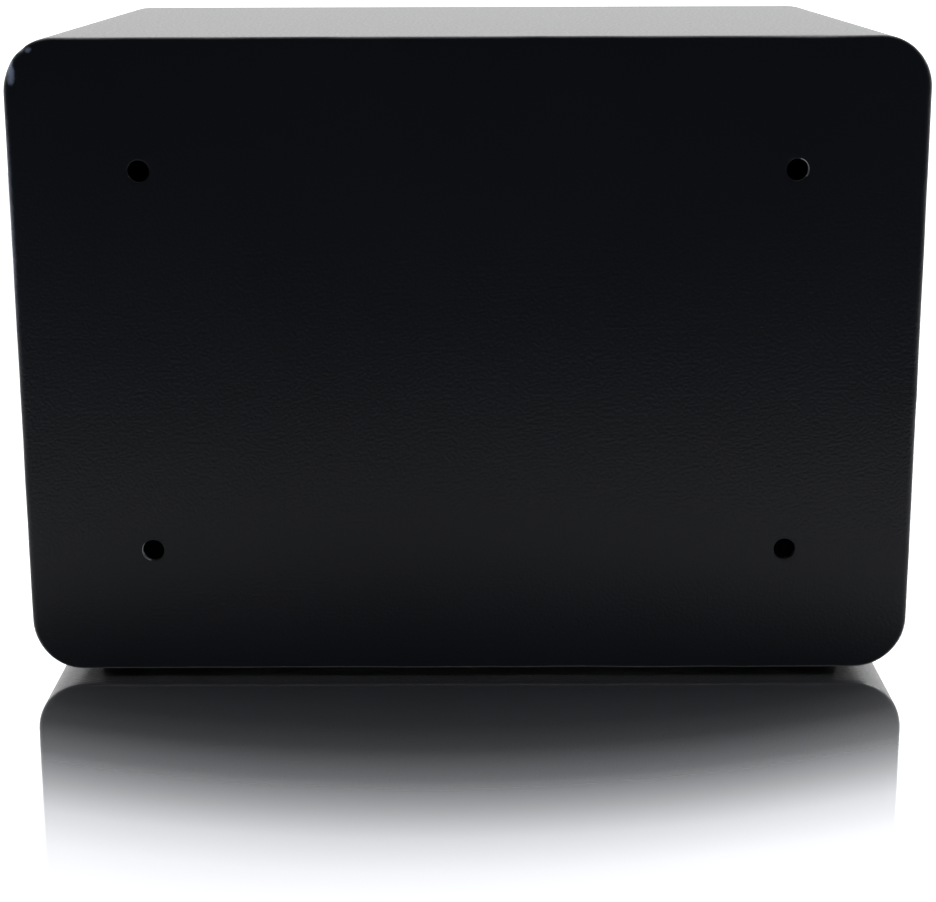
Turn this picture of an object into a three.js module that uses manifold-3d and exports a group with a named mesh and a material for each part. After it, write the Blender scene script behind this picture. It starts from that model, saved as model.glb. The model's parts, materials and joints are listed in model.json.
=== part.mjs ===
// A small steel wall safe: a welded box with four anchor holes in its back, and a flush door with
// a keypad, a turning knob, an override key lock and two live locking bolts.
// Millimetres, +Z up, the door faces -Y. The origin is the centre of the rear panel's outer face,
// the face that goes against the wall. At rest the door is closed and unlocked, bolts drawn in.
import * as THREE from "three";
import { mergeVertices } from "three/addons/utils/BufferGeometryUtils.js";
import Module from "manifold-3d";

const wasm = await Module();
wasm.setup();

// ---- Steel box
const width = 350;
const height = 250;
const depth = 250;
const cornerRadius = 20;
const wrapWall = 2;
const rearWall = 2;
const frameWall = 2;
const fitGap = 0.3; // between pieces that touch or are welded
const anchorRadius = 4.2;
const anchorInset = 50; // anchor hole centres, in from the top and bottom edges
const anchorPitch = 250; // across the back
const footRadius = 10;
const footThickness = 3;
const footInset = 32;

// ---- Door opening and its frame
const frameBorder = 25;
const jambDepth = 42; // from the front face to the back edge of the opening's flange
const jambWall = 2;
const openingRadius = 3;
const doorGap = 2.5;
const doorWall = 3;
const stopReach = 10; // how far a door stop stands into the opening
const stopLength = 16;
const stopInset = 18; // stop centres, in from the top and bottom of the opening
const stopSteel = 1.8;

// ---- Hinges
const pinRadius = 3;
const pinInset = 15; // pin axis, in from the door's hinge edge
const pinSetback = 4.5; // pin axis, behind the back of the door plate
const pinPlay = 0.12;
const leafHeight = 20;
const leafInset = 5.5;
const bushWall = 0.8;
const bushRim = 1; // how far the bush's flange stands out past its barrel
const bushFlange = 1;

// ---- Door cover over the lock work
const workDepth = 28; // clear depth between the door plate and the cover
const coverWall = 1;
const coverInset = 9.5; // from the door's top and bottom edges
const coverLockInset = 11.5; // from the door's lock edge
const coverHingeInset = 35.5; // from the door's hinge edge
const coverRadius = 6;
const screwRadius = 1.6;
const screwHeadRadius = 3.8;
const screwHeadHeight = 2.2;
const screwLength = 12;
const screwInset = 8;
const postRadius = 3.5;

// ---- Locking bolts and the bar that carries them
const boltRadius = 8;
const boltPitch = 90;
const boltThrow = 14;
const boltClear = 4; // bolt's side, behind the back of the door plate
const boltPlay = 2; // round a bolt in its square hole in the jamb
const boltTipInset = 1.5; // drawn bolt's tip, inside the door's edge
const boltChamfer = 1.5;
const tenonRadius = 4;
const tenonLength = 4;
const barSteel = 3;
const barWidth = 24;
const barFlange = 12;
const barFlangeWall = 2;
const barOverhang = 9; // past the bolt centres
const guideWall = 2;
const guideReach = 14; // past the bolt centres
const guideShort = 3.3; // the guide's edge, short of the cover
const guideFoot = 9;

// ---- Knob, spindle and crank
const knobZ = 38;
const knobRadius = 23;
const knobThickness = 14;
const gripLength = 42;
const gripWidth = 13;
const gripHeight = 12;
const collarRadius = 28;
const collarThickness = 3;
const spindleRadius = 4;
const crankSteel = 4;
const crankPinRadius = 2.5;
const slotPlay = 0.6;

// ---- Override key lock
const lockBelowCollar = 8; // top of the lock's face plate, below the knob's collar
const lockRadius = 9;
const plugRadius = 6;
const lockPlateWidth = 27;
const lockPlateThickness = 2.7;
const coverPivotRise = 17;
const lockPlateRise = 7; // top of the face plate, above the cover's pivot
const keyCoverRadius = 11;
const keyCoverThickness = 2;
const pivotRadius = 2;
const keywayWidth = 1.8;
const keywayHeight = 8;
const camArm = 12;
const camRadius = 2.5;
const camSteel = 2.5;
const camRestAngle = THREE.MathUtils.degToRad(68);

// ---- Solenoid that blocks the bar
const plungerRadius = 4;
const plungerFromLock = 13.5; // plunger axis, towards the lock edge from the lock axis
const plungerStroke = 9;
const releaseShare = 0.7; // share of the throw at which the lug has passed the plunger
const lugAboveLock = 1.3; // bottom of the lug, above the lock axis
const collarSeatRadius = 6;
const collarSeatHeight = 2;
const tipLength = 2;
const springLength = 6.6;
const coilWidth = 22;
const coilToBar = 3.5; // coil's side, in from the drawn bar's inner edge
const coilHeight = 26;
const plungerLength = 32;

// ---- Keypad
const keypadWidth = 96;
const keypadHeight = 140;
const keypadThickness = 15.7;
const keypadWall = 2;
const keypadRadius = 10;
const keypadFromHinge = 89.5; // keypad centre, in from the door's hinge edge
const keyWidth = 20;
const keyHeight = 16;
const keyRadius = 4;
const keyPitchX = 26;
const keyPitchZ = 23;
const keyTopZ = 26; // centre of the top row, above the keypad's centre
const keyDepth = 8.5;
const keyStand = 1.5; // key face, in front of the keypad's face
const keyLip = 1.5;
const keyLipThickness = 1.2;
const lampRadius = 2.5;
const lampZ = 52;
const lampPitch = 14;
const boardThickness = 1.6;
const boardSetback = 7; // board front, behind the keypad's front wall
const cableHoleRadius = 6;
const cableHoleZ = 45;
const leadRadius = 1.5;
const leadSpread = 2.6;

// ---- Battery compartment and reset button
const batteryWidth = 60;
const batteryHeight = 58;
const batteryDepth = 16.5;
const batteryWall = 1.5;
const batteryFromCover = 12.5; // compartment's inner edge, in from the cover's hinge side
const lidLap = 3;
const lidThickness = 2.5;
const lidTravel = 64; // the lid slides towards the lock edge in its rails
const lidRailLip = 2.6;
const resetX = 22; // in from the cover's hinge side
const resetZ = 58;
const resetRadius = 3;
const resetStand = 1.5;
const resetLength = 9;
const resetSwitchSize = 12;

// ---- Inside the box
const railHeight = 12;
const railReach = 17;
const railSteel = 1.5;
const shelfZ = 0;
const shelfSteel = 1.2;
const shelfLip = 12;
const shelfFrontGap = 7; // behind the jamb
const shelfRearGap = 8;
const matThickness = 3;
const matMargin = 3;

const arcSteps = 3; // two segments for each, so a quarter turn has six
const roundSides = 24;

// ---- Places that follow from the sizes
const front = -depth;
const openingWidth = width - 2 * frameBorder;
const openingHeight = height - 2 * frameBorder;
const doorWidth = openingWidth - 2 * doorGap;
const doorHeight = openingHeight - 2 * doorGap;
const doorBack = front + doorWall;
const jambBack = front + jambDepth;
const hingeX = -doorWidth / 2 + pinInset;
const hingeY = doorBack + pinSetback;
const coverLeft = -doorWidth / 2 + coverHingeInset;
const coverRight = doorWidth / 2 - coverLockInset;
const coverHeight = doorHeight - 2 * coverInset;
const coverInner = doorBack + workDepth;
const coverOuter = coverInner + coverWall;
const boltY = doorBack + boltRadius + boltClear;
const guideRight = coverRight - coverWall - 5;
const guideLeft = guideRight - guideWall;
const barRight = guideLeft - boltThrow - 2;
const barBack = boltY - 1;
const barFront = barBack - barSteel;
const knobX = barRight - barWidth - coilToBar - coilWidth / 2 - plungerFromLock;
const crankRadius = boltThrow / Math.SQRT2; // a quarter turn from 45 degrees either side
const lockZ = knobZ - collarRadius - lockBelowCollar - lockPlateRise - coverPivotRise;
const plungerX = knobX + plungerFromLock;
const plungerY = (barFront + barBack) / 2;
const lugBottom = lockZ + lugAboveLock;
const plungerTip = lugBottom - fitGap - plungerStroke * releaseShare;
const seatTop = plungerTip - tipLength;
const seatBottom = seatTop - collarSeatHeight;
const coilTop = seatBottom - springLength - fitGap;
const coilThickness = 2 * (plungerY - doorBack - fitGap);
const keypadX = -doorWidth / 2 + keypadFromHinge;
const keypadFront = front - fitGap - keypadThickness;
const keypadWallBack = keypadFront + keypadWall;
const boardFront = keypadWallBack + boardSetback;
const batteryX = coverLeft + batteryFromCover + batteryWidth / 2;
const batteryFront = coverInner - fitGap - batteryDepth - batteryWall;
const lowest = -height / 2 - fitGap - footThickness;

// ---- Materials
const paint = (color, roughness, metalness = 0) =>
  new THREE.MeshStandardMaterial({ color, roughness, metalness });
const blackCoat = paint(0x15171a, 0.45);
const darkPlastic = paint(0x1b1c1e, 0.5);
const keyPlastic = paint(0x2a2c2f, 0.55);
const bareSteel = paint(0x9a9c9e, 0.35, 1);
const zincSteel = paint(0xb4b1a4, 0.4, 1);
const chromePlate = paint(0xd5d7da, 0.12, 1);
const brass = paint(0xb99a55, 0.3, 1);
const blackRubber = paint(0x101010, 0.85);
const nylon = paint(0xd9d6cc, 0.5);
const carpet = paint(0x2b2c2f, 0.95);
const circuitGreen = paint(0x1f5a36, 0.5);
const redPlastic = paint(0xb3201c, 0.4);
const yellowLens = paint(0xd8a514, 0.25);
const greenLens = paint(0x2f9a44, 0.25);
const redLens = paint(0xb5231d, 0.25);

// ---- Shape helpers. Flat work is drawn as seen from the front: x right, z up.
function roundedRect(w, h, radius, x = 0, z = 0) {
  const shape = new THREE.Shape();
  const dx = w / 2 - radius;
  const dz = h / 2 - radius;
  const quarter = Math.PI / 2;
  shape.absarc(x + dx, z + dz, radius, 0, quarter);
  shape.absarc(x - dx, z + dz, radius, quarter, 2 * quarter);
  shape.absarc(x - dx, z - dz, radius, 2 * quarter, 3 * quarter);
  shape.absarc(x + dx, z - dz, radius, 3 * quarter, 4 * quarter);
  return shape;
}

const circle = (radius, x = 0, z = 0) => roundedRect(2 * radius, 2 * radius, radius, x, z);

// Extrudes a front-view outline between two depths.
function slab(outline, from, to, holes = []) {
  outline.holes.push(...holes);
  const settings = { depth: to - from, bevelEnabled: false, curveSegments: arcSteps };
  return new THREE.ExtrudeGeometry(outline, settings).rotateX(Math.PI / 2).translate(0, to, 0);
}

// A box between two corners.
function block([x0, y0, z0], [x1, y1, z1]) {
  return new THREE.BoxGeometry(x1 - x0, y1 - y0, z1 - z0)
    .translate((x0 + x1) / 2, (y0 + y1) / 2, (z0 + z1) / 2);
}

// A round rod along y, x or z, with its axis through the other two coordinates.
function rodY(radius, x, z, from, to) {
  return new THREE.CylinderGeometry(radius, radius, to - from, roundSides)
    .translate(x, (from + to) / 2, z);
}

function rodX(radius, y, z, from, to) {
  return new THREE.CylinderGeometry(radius, radius, to - from, roundSides)
    .rotateZ(Math.PI / 2).translate((from + to) / 2, y, z);
}

function rodZ(radius, x, y, from, to) {
  return new THREE.CylinderGeometry(radius, radius, to - from, roundSides)
    .rotateX(Math.PI / 2).translate(x, y, (from + to) / 2);
}

// Turns a closed profile of [radius, distance] points round an axis.
function turned(profile) {
  return new THREE.LatheGeometry(profile.map((p) => new THREE.Vector2(...p)), roundSides);
}

function toSolid(geometry) {
  const bare = geometry.clone();
  bare.deleteAttribute("normal");
  bare.deleteAttribute("uv");
  const merged = mergeVertices(bare, 1e-3);
  return new wasm.Manifold(new wasm.Mesh({
    numProp: 3,
    vertProperties: new Float32Array(merged.attributes.position.array),
    triVerts: new Uint32Array(merged.index.array),
  }));
}

function fromSolid(solid) {
  const { vertProperties, triVerts, numProp } = solid.getMesh();
  const count = vertProperties.length / numProp;
  const position = new Float32Array(count * 3);
  for (let i = 0; i < count; i++) {
    position.set(vertProperties.subarray(i * numProp, i * numProp + 3), i * 3);
  }
  const geometry = new THREE.BufferGeometry();
  geometry.setAttribute("position", new THREE.BufferAttribute(position, 3));
  geometry.setIndex(new THREE.BufferAttribute(new Uint32Array(triVerts), 1));
  geometry.computeVertexNormals();
  return geometry;
}

const fuse = (...pieces) => fromSolid(pieces.map(toSolid).reduce((a, b) => a.add(b)));
const carve = (base, ...tools) =>
  fromSolid(tools.map(toSolid).reduce((a, b) => a.subtract(b), toSolid(base)));

const safe = new THREE.Group();
const box = new THREE.Group();
const door = new THREE.Group();
safe.add(box, door);

function part(group, name, geometry, material) {
  const mesh = new THREE.Mesh(geometry, material);
  mesh.name = name;
  group.add(mesh);
  return mesh;
}

// ---- Box: wrap, rear panel, door frame and feet
function addBox() {
  const outside = () => roundedRect(width, height, cornerRadius);
  const hollow = roundedRect(width - 2 * wrapWall, height - 2 * wrapWall, cornerRadius - wrapWall);
  const wrap = slab(outside(), front + frameWall + fitGap, -rearWall - fitGap, [hollow]);
  part(box, "body_wrap", wrap, blackCoat);

  const anchorZ = height / 2 - anchorInset;
  const anchors = [-1, 1].flatMap((sx) =>
    [-1, 1].map((sz) => circle(anchorRadius, sx * anchorPitch / 2, sz * anchorZ)));
  part(box, "rear_panel", slab(outside(), -rearWall, 0, anchors), blackCoat);

  const opening = () => roundedRect(openingWidth, openingHeight, openingRadius);
  const face = slab(outside(), front, front + frameWall, [opening()]);
  const flangeOutline = roundedRect(openingWidth + 2 * jambWall, openingHeight + 2 * jambWall,
    openingRadius + jambWall);
  const flange = slab(flangeOutline, front, jambBack, [opening()]);
  const halfHole = boltRadius + boltPlay;
  const boltHoles = [-1, 1].map((s) => block(
    [openingWidth / 2 - 1, boltY - halfHole, s * boltPitch / 2 - halfHole],
    [openingWidth / 2 + jambWall + 1, boltY + halfHole, s * boltPitch / 2 + halfHole]));
  const bushHoleRadius = pinRadius + pinPlay + bushWall + fitGap;
  const pinHoles = [-1, 1].map((s) => rodZ(bushHoleRadius, hingeX, hingeY,
    s * (openingHeight / 2 + jambWall / 2) - jambWall, s * (openingHeight / 2 + jambWall / 2) + jambWall));
  part(box, "door_frame", carve(fuse(face, flange), ...boltHoles, ...pinHoles), blackCoat);

  const footX = width / 2 - footInset;
  [[-footX, front + footInset], [footX, front + footInset], [-footX, -footInset], [footX, -footInset]]
    .forEach(([x, y], i) => {
      const foot = rodZ(footRadius, 0, 0, lowest, lowest + footThickness);
      part(box, `foot_${i + 1}`, foot, blackRubber).position.set(x, y, 0);
    });
}

// ---- Stops the door plate rests on when it is shut, and the bushes its hinge pins turn in
function addDoorSeats() {
  const jambFace = openingWidth / 2 - fitGap;
  const seat = doorBack + 2 * fitGap;
  const nose = (z) => block([jambFace - stopReach, seat, z - stopLength / 2],
    [jambFace, seat + stopSteel, z + stopLength / 2]);
  const leg = (z) => block([jambFace - stopSteel, seat, z - stopLength / 2],
    [jambFace, seat + stopLength, z + stopLength / 2]);
  const stopZ = openingHeight / 2 - stopInset;
  part(box, "door_stop_upper", fuse(nose(stopZ), leg(stopZ)), blackCoat);
  part(box, "door_stop_lower", fuse(nose(-stopZ), leg(-stopZ)), blackCoat);

  const bore = pinRadius + pinPlay;
  const barrel = bore + bushWall;
  const shoulder = jambWall + fitGap;
  const rim = barrel + bushRim;
  const profile = [[bore, 0.2], [barrel, 0.2], [barrel, shoulder], [rim, shoulder],
    [rim, shoulder + bushFlange], [bore, shoulder + bushFlange], [bore, 0.2]];
  const upper = part(box, "hinge_bush_upper", turned(profile), nylon);
  upper.rotation.x = Math.PI / 2;
  upper.position.set(hingeX, hingeY, openingHeight / 2);
  const lower = part(box, "hinge_bush_lower", turned(profile), nylon);
  lower.rotation.x = -Math.PI / 2;
  lower.position.set(hingeX, hingeY, -openingHeight / 2);
}

// ---- Shelf on its two rails, and the floor mat
function addFittings() {
  const wall = width / 2 - wrapWall - fitGap;
  const from = jambBack + shelfFrontGap;
  const to = -rearWall - shelfRearGap;
  const rail = fuse(
    block([wall - railReach, from, shelfZ - railSteel], [wall, to, shelfZ]),
    block([wall - railSteel, from, shelfZ - railHeight], [wall, to, shelfZ]));
  part(box, "shelf_rail_right", rail, blackCoat);
  part(box, "shelf_rail_left", rail.clone().rotateZ(Math.PI).translate(0, from + to, 0), blackCoat);

  const under = shelfZ + fitGap;
  const shelfHalf = wall - 2;
  const lipHalf = wall - railReach - 2;
  const shelf = fuse(
    block([-shelfHalf, from, under], [shelfHalf, to - 2, under + shelfSteel]),
    block([-lipHalf, from - shelfSteel, under + shelfSteel - shelfLip],
      [lipHalf, from, under + shelfSteel]));
  part(box, "shelf", shelf, blackCoat);

  const floor = -height / 2 + wrapWall + fitGap;
  const matHalf = width / 2 - cornerRadius - matMargin;
  const mat = block([-matHalf, jambBack + matMargin, floor],
    [matHalf, -rearWall - matMargin, floor + matThickness]);
  part(box, "floor_mat", mat, carpet);
}

// ---- Door plate with its cover posts, the hinge leaves with their pins, and the cover
function addDoor() {
  const plateHoles = [
    circle(pinRadius + 3, knobX, knobZ),
    circle(lockRadius + fitGap, knobX, lockZ),
    circle(cableHoleRadius, keypadX, cableHoleZ),
  ];
  const plate = slab(roundedRect(doorWidth, doorHeight, openingRadius), front, doorBack, plateHoles);
  const postZ = coverHeight / 2 - screwInset;
  const places = [[coverLeft + screwInset, postZ], [guideLeft - 12, postZ],
    [coverLeft + screwInset, -postZ], [guideLeft - 12, -postZ]];
  const posts = places.map(([x, z]) => rodY(postRadius, x, z, doorBack - 1, coverInner - fitGap));
  const taps = places.map(([x, z]) =>
    rodY(screwRadius + fitGap, x, z, coverInner - screwLength, coverInner));
  part(door, "door_plate", carve(fuse(plate, ...posts), ...taps), blackCoat);

  const leafTop = doorHeight / 2 - leafInset;
  const pinEnd = openingHeight / 2 + jambWall + 3;
  const leaf = (low, high, pinLow, pinHigh) => fuse(
    block([hingeX - pinRadius - 2.5, doorBack + fitGap, low],
      [hingeX + 14, hingeY + pinRadius + 1.5, high]),
    rodZ(pinRadius, hingeX, hingeY, pinLow, pinHigh));
  part(door, "hinge_upper", leaf(leafTop - leafHeight, leafTop, leafTop - 1, pinEnd), zincSteel);
  part(door, "hinge_lower", leaf(-leafTop, leafHeight - leafTop, -pinEnd, 1 - leafTop), zincSteel);

  const outline = (inset) => {
    const w = coverRight - coverLeft - 2 * inset;
    return roundedRect(w, coverHeight - 2 * inset, coverRadius - inset, (coverLeft + coverRight) / 2);
  };
  const pan = carve(slab(outline(0), doorBack + fitGap, coverOuter),
    slab(outline(coverWall), doorBack - 1, coverInner));
  const boltHoles = [-1, 1].map((s) =>
    rodX(boltRadius + 0.8, boltY, s * boltPitch / 2, coverRight - 3, coverRight + 1));
  const screwHoles = places.map(([x, z]) =>
    rodY(screwRadius + fitGap, x, z, coverInner - 1, coverOuter + 1));
  const hatch = block([batteryX - batteryWidth / 2, coverInner - 1, -batteryHeight / 2],
    [batteryX + batteryWidth / 2, coverOuter + 1, batteryHeight / 2]);
  const resetHole = rodY(resetRadius + fitGap, coverLeft + resetX, resetZ, coverInner - 1, coverOuter + 1);
  const railEdge = batteryHeight / 2 + lidLap + fitGap;
  const railBack = coverOuter + lidThickness + 2 * fitGap;
  const railStart = batteryX - batteryWidth / 2 - lidLap;
  const railEnd = batteryX + batteryWidth / 2 + lidLap + lidTravel;
  const lidRails = [-1, 1].flatMap((s) => {
    const [low, high] = s > 0 ? [railEdge, railEdge + 1] : [-railEdge - 1, -railEdge];
    const [lipLow, lipHigh] = s > 0 ? [railEdge - lidRailLip, railEdge + 1] : [-railEdge - 1, lidRailLip - railEdge];
    return [block([railStart, coverOuter - 0.5, low], [railEnd, railBack + 1, high]),
      block([railStart, railBack, lipLow], [railEnd, railBack + 1, lipHigh])];
  });
  const cover = carve(pan, ...boltHoles, ...screwHoles, hatch, resetHole);
  part(door, "door_cover", fuse(cover, ...lidRails), blackCoat);

  places.forEach(([x, z], i) => {
    const seat = coverOuter + fitGap;
    const screw = fuse(
      rodY(screwHeadRadius, 0, 0, seat, seat + screwHeadHeight),
      rodY(screwRadius, 0, 0, coverInner - screwLength + 1, seat + 1));
    part(door, `cover_screw_${i + 1}`, screw, zincSteel).position.set(x, 0, z);
  });
}

// ---- Bolt bar, the two bolts it carries, and the guide they slide in
function addBolts() {
  const half = boltPitch / 2;
  const slotX = knobX - boltThrow / 2;
  const slotWidth = 2 * (crankPinRadius + slotPlay);
  const slotTop = knobZ - boltThrow / 2 + crankPinRadius + slotPlay;
  const slotBottom = knobZ - crankRadius - crankPinRadius - slotPlay;
  const armTop = slotTop + 4;
  const armBottom = slotBottom - 4;
  const strip = block([barRight - barWidth, barFront, -half - barOverhang],
    [barRight, barBack, half + barOverhang]);
  const flange = block([barRight - barFlangeWall, barFront, -half - barOverhang],
    [barRight, barFront + barFlange, half + barOverhang]);
  const arm = block([slotX - slotWidth / 2 - 5, barFront, armBottom],
    [barRight - barWidth + 1, barBack, armTop]);
  const lugLeft = plungerX + plungerRadius + fitGap - boltThrow * releaseShare;
  const lug = block([lugLeft, barFront, lugBottom], [barRight - barWidth + 1, barBack, armBottom + 1]);
  const slot = block([slotX - slotWidth / 2, barFront - 1, slotBottom],
    [slotX + slotWidth / 2, barBack + 1, slotTop]);
  const tenonHoles = [-half, half].map((z) =>
    rodX(tenonRadius + fitGap, boltY, z, barRight - barFlangeWall - 1, barRight + 1));
  const notches = [-half, half].map((z) => block(
    [barRight - barFlangeWall - tenonLength - 1, barFront - 1, z - tenonRadius - 1],
    [barRight - barFlangeWall, barBack + 1, z + tenonRadius + 1]));
  part(door, "bolt_bar", carve(fuse(strip, flange, arm, lug), slot, ...tenonHoles, ...notches), zincSteel);

  const tip = doorWidth / 2 - boltTipInset;
  const heel = barRight + fitGap;
  const profile = [[0, heel - barFlangeWall - tenonLength], [tenonRadius, heel - barFlangeWall - tenonLength],
    [tenonRadius, heel], [boltRadius, heel], [boltRadius, tip - boltChamfer],
    [boltRadius - boltChamfer, tip], [0, tip]];
  [["locking_bolt_upper", half], ["locking_bolt_lower", -half]].forEach(([name, z]) => {
    const bolt = part(door, name, turned(profile), chromePlate);
    bolt.rotation.z = -Math.PI / 2;
    bolt.position.set(0, boltY, z);
  });

  const guideHalf = half + guideReach;
  const plate = block([guideLeft, doorBack + fitGap, -guideHalf],
    [guideRight, coverInner - guideShort, guideHalf]);
  const foot = block([guideLeft - guideFoot + guideWall, doorBack + fitGap, -guideHalf],
    [guideRight, doorBack + fitGap + guideWall, guideHalf]);
  const holes = [-half, half].map((z) => rodX(boltRadius + fitGap, boltY, z, guideLeft - 1, guideRight + 1));
  part(door, "bolt_guide", carve(fuse(plate, foot), ...holes), zincSteel);
}

// ---- Knob, its collar, and the spindle whose crank pin drives the bar's slot
function addKnob() {
  const seat = front - fitGap;
  const hubRadius = pinRadius + 3 - fitGap;
  const collar = fuse(rodY(collarRadius, knobX, knobZ, seat - collarThickness, seat),
    rodY(hubRadius, knobX, knobZ, seat - 1, doorBack + 0.2));
  const bore = rodY(spindleRadius + fitGap, knobX, knobZ, seat - collarThickness - 1, doorBack + 1);
  part(door, "knob_collar", carve(collar, bore), chromePlate);

  const knobBack = seat - collarThickness - 0.6;
  const knobFront = knobBack - knobThickness;
  const socketEnd = knobBack - knobThickness + 5;
  const knob = carve(
    fuse(rodY(knobRadius, 0, 0, knobFront, knobBack),
      slab(roundedRect(gripLength, gripWidth, 4), knobFront - gripHeight, knobFront + 1)),
    rodY(spindleRadius + fitGap, 0, 0, socketEnd, knobBack + 1));
  part(door, "knob", knob, darkPlastic).position.set(knobX, 0, knobZ);

  const crankFront = doorBack + 1.5;
  const crankBack = crankFront + crankSteel;
  const pinX = -boltThrow / 2;
  const pinZ = -boltThrow / 2;
  const web = new THREE.BoxGeometry(crankRadius, crankSteel, 9)
    .translate(crankRadius / 2, (crankFront + crankBack) / 2, 0)
    .rotateY(-Math.atan2(pinZ, pinX));
  const spindle = fuse(
    rodY(spindleRadius, 0, 0, socketEnd + fitGap, crankBack),
    rodY(spindleRadius + 2, 0, 0, crankFront, crankBack), web,
    rodY(crankPinRadius + 2, pinX, pinZ, crankFront, crankBack),
    rodY(crankPinRadius, pinX, pinZ, crankBack - 1, barBack + 2));
  part(door, "knob_spindle", spindle, zincSteel).position.set(knobX, 0, knobZ);
}

// ---- Override key lock: cylinder with its face plate, keyed plug with its cam, swing cover
function addKeyLock() {
  const seat = front - fitGap;
  const face = seat - lockPlateThickness;
  const end = plungerY - collarSeatRadius - fitGap; // clear of the plunger's collar as it rises
  const plateTop = coverPivotRise + lockPlateRise;
  const plateBottom = -lockPlateWidth / 2;
  const faceplate = slab(roundedRect(lockPlateWidth, plateTop - plateBottom, lockPlateWidth / 2 - 0.01, 0,
    (plateTop + plateBottom) / 2), face, seat);
  const cylinder = carve(fuse(faceplate, rodY(lockRadius, 0, 0, seat - 1, end)),
    rodY(plugRadius + fitGap, 0, 0, face - 1, end + 1),
    rodY(pivotRadius + fitGap, 0, coverPivotRise, face - 1, seat + 1));
  part(door, "lock_cylinder", cylinder, chromePlate).position.set(knobX, 0, lockZ);

  const camFront = plungerY + plungerRadius + fitGap; // behind the plunger, over its collar's edge
  const arm = slab(roundedRect(camArm + 2 * camRadius, 2 * camRadius, camRadius - 0.01, camArm / 2),
    camFront, camFront + camSteel).rotateY(-camRestAngle);
  const plug = carve(
    fuse(rodY(plugRadius, 0, 0, face, end), rodY(camRadius + 1, 0, 0, end - 1, camFront + camSteel), arm),
    block([-keywayWidth / 2, face - 1, -keywayHeight / 2], [keywayWidth / 2, face + 6, keywayHeight / 2]));
  part(door, "lock_plug", plug, brass).position.set(knobX, 0, lockZ);

  const coverBack = face - fitGap;
  const swing = fuse(
    rodY(keyCoverRadius, 0, 0, coverBack - keyCoverThickness, coverBack),
    slab(roundedRect(10, coverPivotRise + 5, 4.9, 0, (coverPivotRise + 5) / 2), coverBack - keyCoverThickness,
      coverBack),
    rodY(pivotRadius, 0, coverPivotRise, coverBack - 1, seat - fitGap));
  part(door, "key_cover", swing, chromePlate).position.set(knobX, 0, lockZ);
}

// ---- Solenoid, plunger and return spring
function addSolenoid() {
  const coil = carve(
    block([plungerX - coilWidth / 2, plungerY - coilThickness / 2, coilTop - coilHeight],
      [plungerX + coilWidth / 2, plungerY + coilThickness / 2, coilTop]),
    rodZ(plungerRadius + fitGap, plungerX, plungerY, coilTop - coilHeight - 1, coilTop + 1));
  part(door, "solenoid", coil, bareSteel);
  const plunger = fuse(
    rodZ(plungerRadius, plungerX, plungerY, plungerTip - plungerLength, plungerTip),
    rodZ(collarSeatRadius, plungerX, plungerY, seatBottom, seatTop));
  part(door, "solenoid_plunger", plunger, chromePlate);
  const wire = 1.2;
  const inner = plungerRadius + fitGap;
  const low = coilTop + fitGap / 2;
  const high = seatBottom - fitGap / 2;
  const sleeve = turned([[inner, low], [inner + wire, low], [inner + wire, high], [inner, high], [inner, low]]);
  const spring = part(door, "plunger_spring", sleeve, bareSteel);
  spring.rotation.x = Math.PI / 2;
  spring.position.set(plungerX, plungerY, 0);
}

// ---- Keypad: housing, twelve keys, three lamps and the circuit board
function addKeypad() {
  const half = [keypadWidth / 2, keypadHeight / 2];
  const columns = [-1, 0, 1];
  const rows = [0, 1, 2, 3];
  const apertures = rows.flatMap((row) => columns.map((column) => roundedRect(
    keyWidth + 2 * fitGap, keyHeight + 2 * fitGap, keyRadius, column * keyPitchX, keyTopZ - row * keyPitchZ)));
  const lampHoles = columns.map((column) => circle(lampRadius + fitGap, column * lampPitch, lampZ));
  const wall = slab(roundedRect(keypadWidth, keypadHeight, keypadRadius), keypadFront, keypadWallBack,
    [...apertures, ...lampHoles]);
  const rim = slab(roundedRect(keypadWidth, keypadHeight, keypadRadius), keypadWallBack - 0.5, front - fitGap,
    [roundedRect(2 * (half[0] - keypadWall), 2 * (half[1] - keypadWall), keypadRadius - keypadWall)]);
  part(door, "keypad_housing", fuse(wall, rim), darkPlastic).position.x = keypadX;

  const names = ["1", "2", "3", "4", "5", "6", "7", "8", "9", "A", "0", "B"];
  names.forEach((label, i) => {
    const keyFront = keypadFront - keyStand;
    const lipFront = keypadWallBack + fitGap;
    const key = fuse(
      slab(roundedRect(keyWidth, keyHeight, keyRadius), keyFront, keyFront + keyDepth),
      slab(roundedRect(keyWidth + 2 * keyLip, keyHeight + 2 * keyLip, keyRadius), lipFront,
        lipFront + keyLipThickness));
    part(door, `key_${label}`, key, keyPlastic)
      .position.set(keypadX + columns[i % 3] * keyPitchX, 0, keyTopZ - Math.floor(i / 3) * keyPitchZ);
  });

  [["lamp_red", redLens], ["lamp_yellow", yellowLens], ["lamp_green", greenLens]].forEach(([name, lens], i) => {
    const lamp = rodY(lampRadius, 0, 0, keypadFront - 1, boardFront - fitGap);
    part(door, name, lamp, lens).position.set(keypadX + columns[i] * lampPitch, 0, lampZ);
  });

  const inside = [half[0] - keypadWall - 0.5, half[1] - keypadWall - 0.5];
  const board = slab(roundedRect(2 * inside[0], 2 * inside[1], keypadRadius - keypadWall - 0.5), boardFront,
    boardFront + boardThickness);
  part(door, "circuit_board", board, circuitGreen).position.x = keypadX;
}

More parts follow.
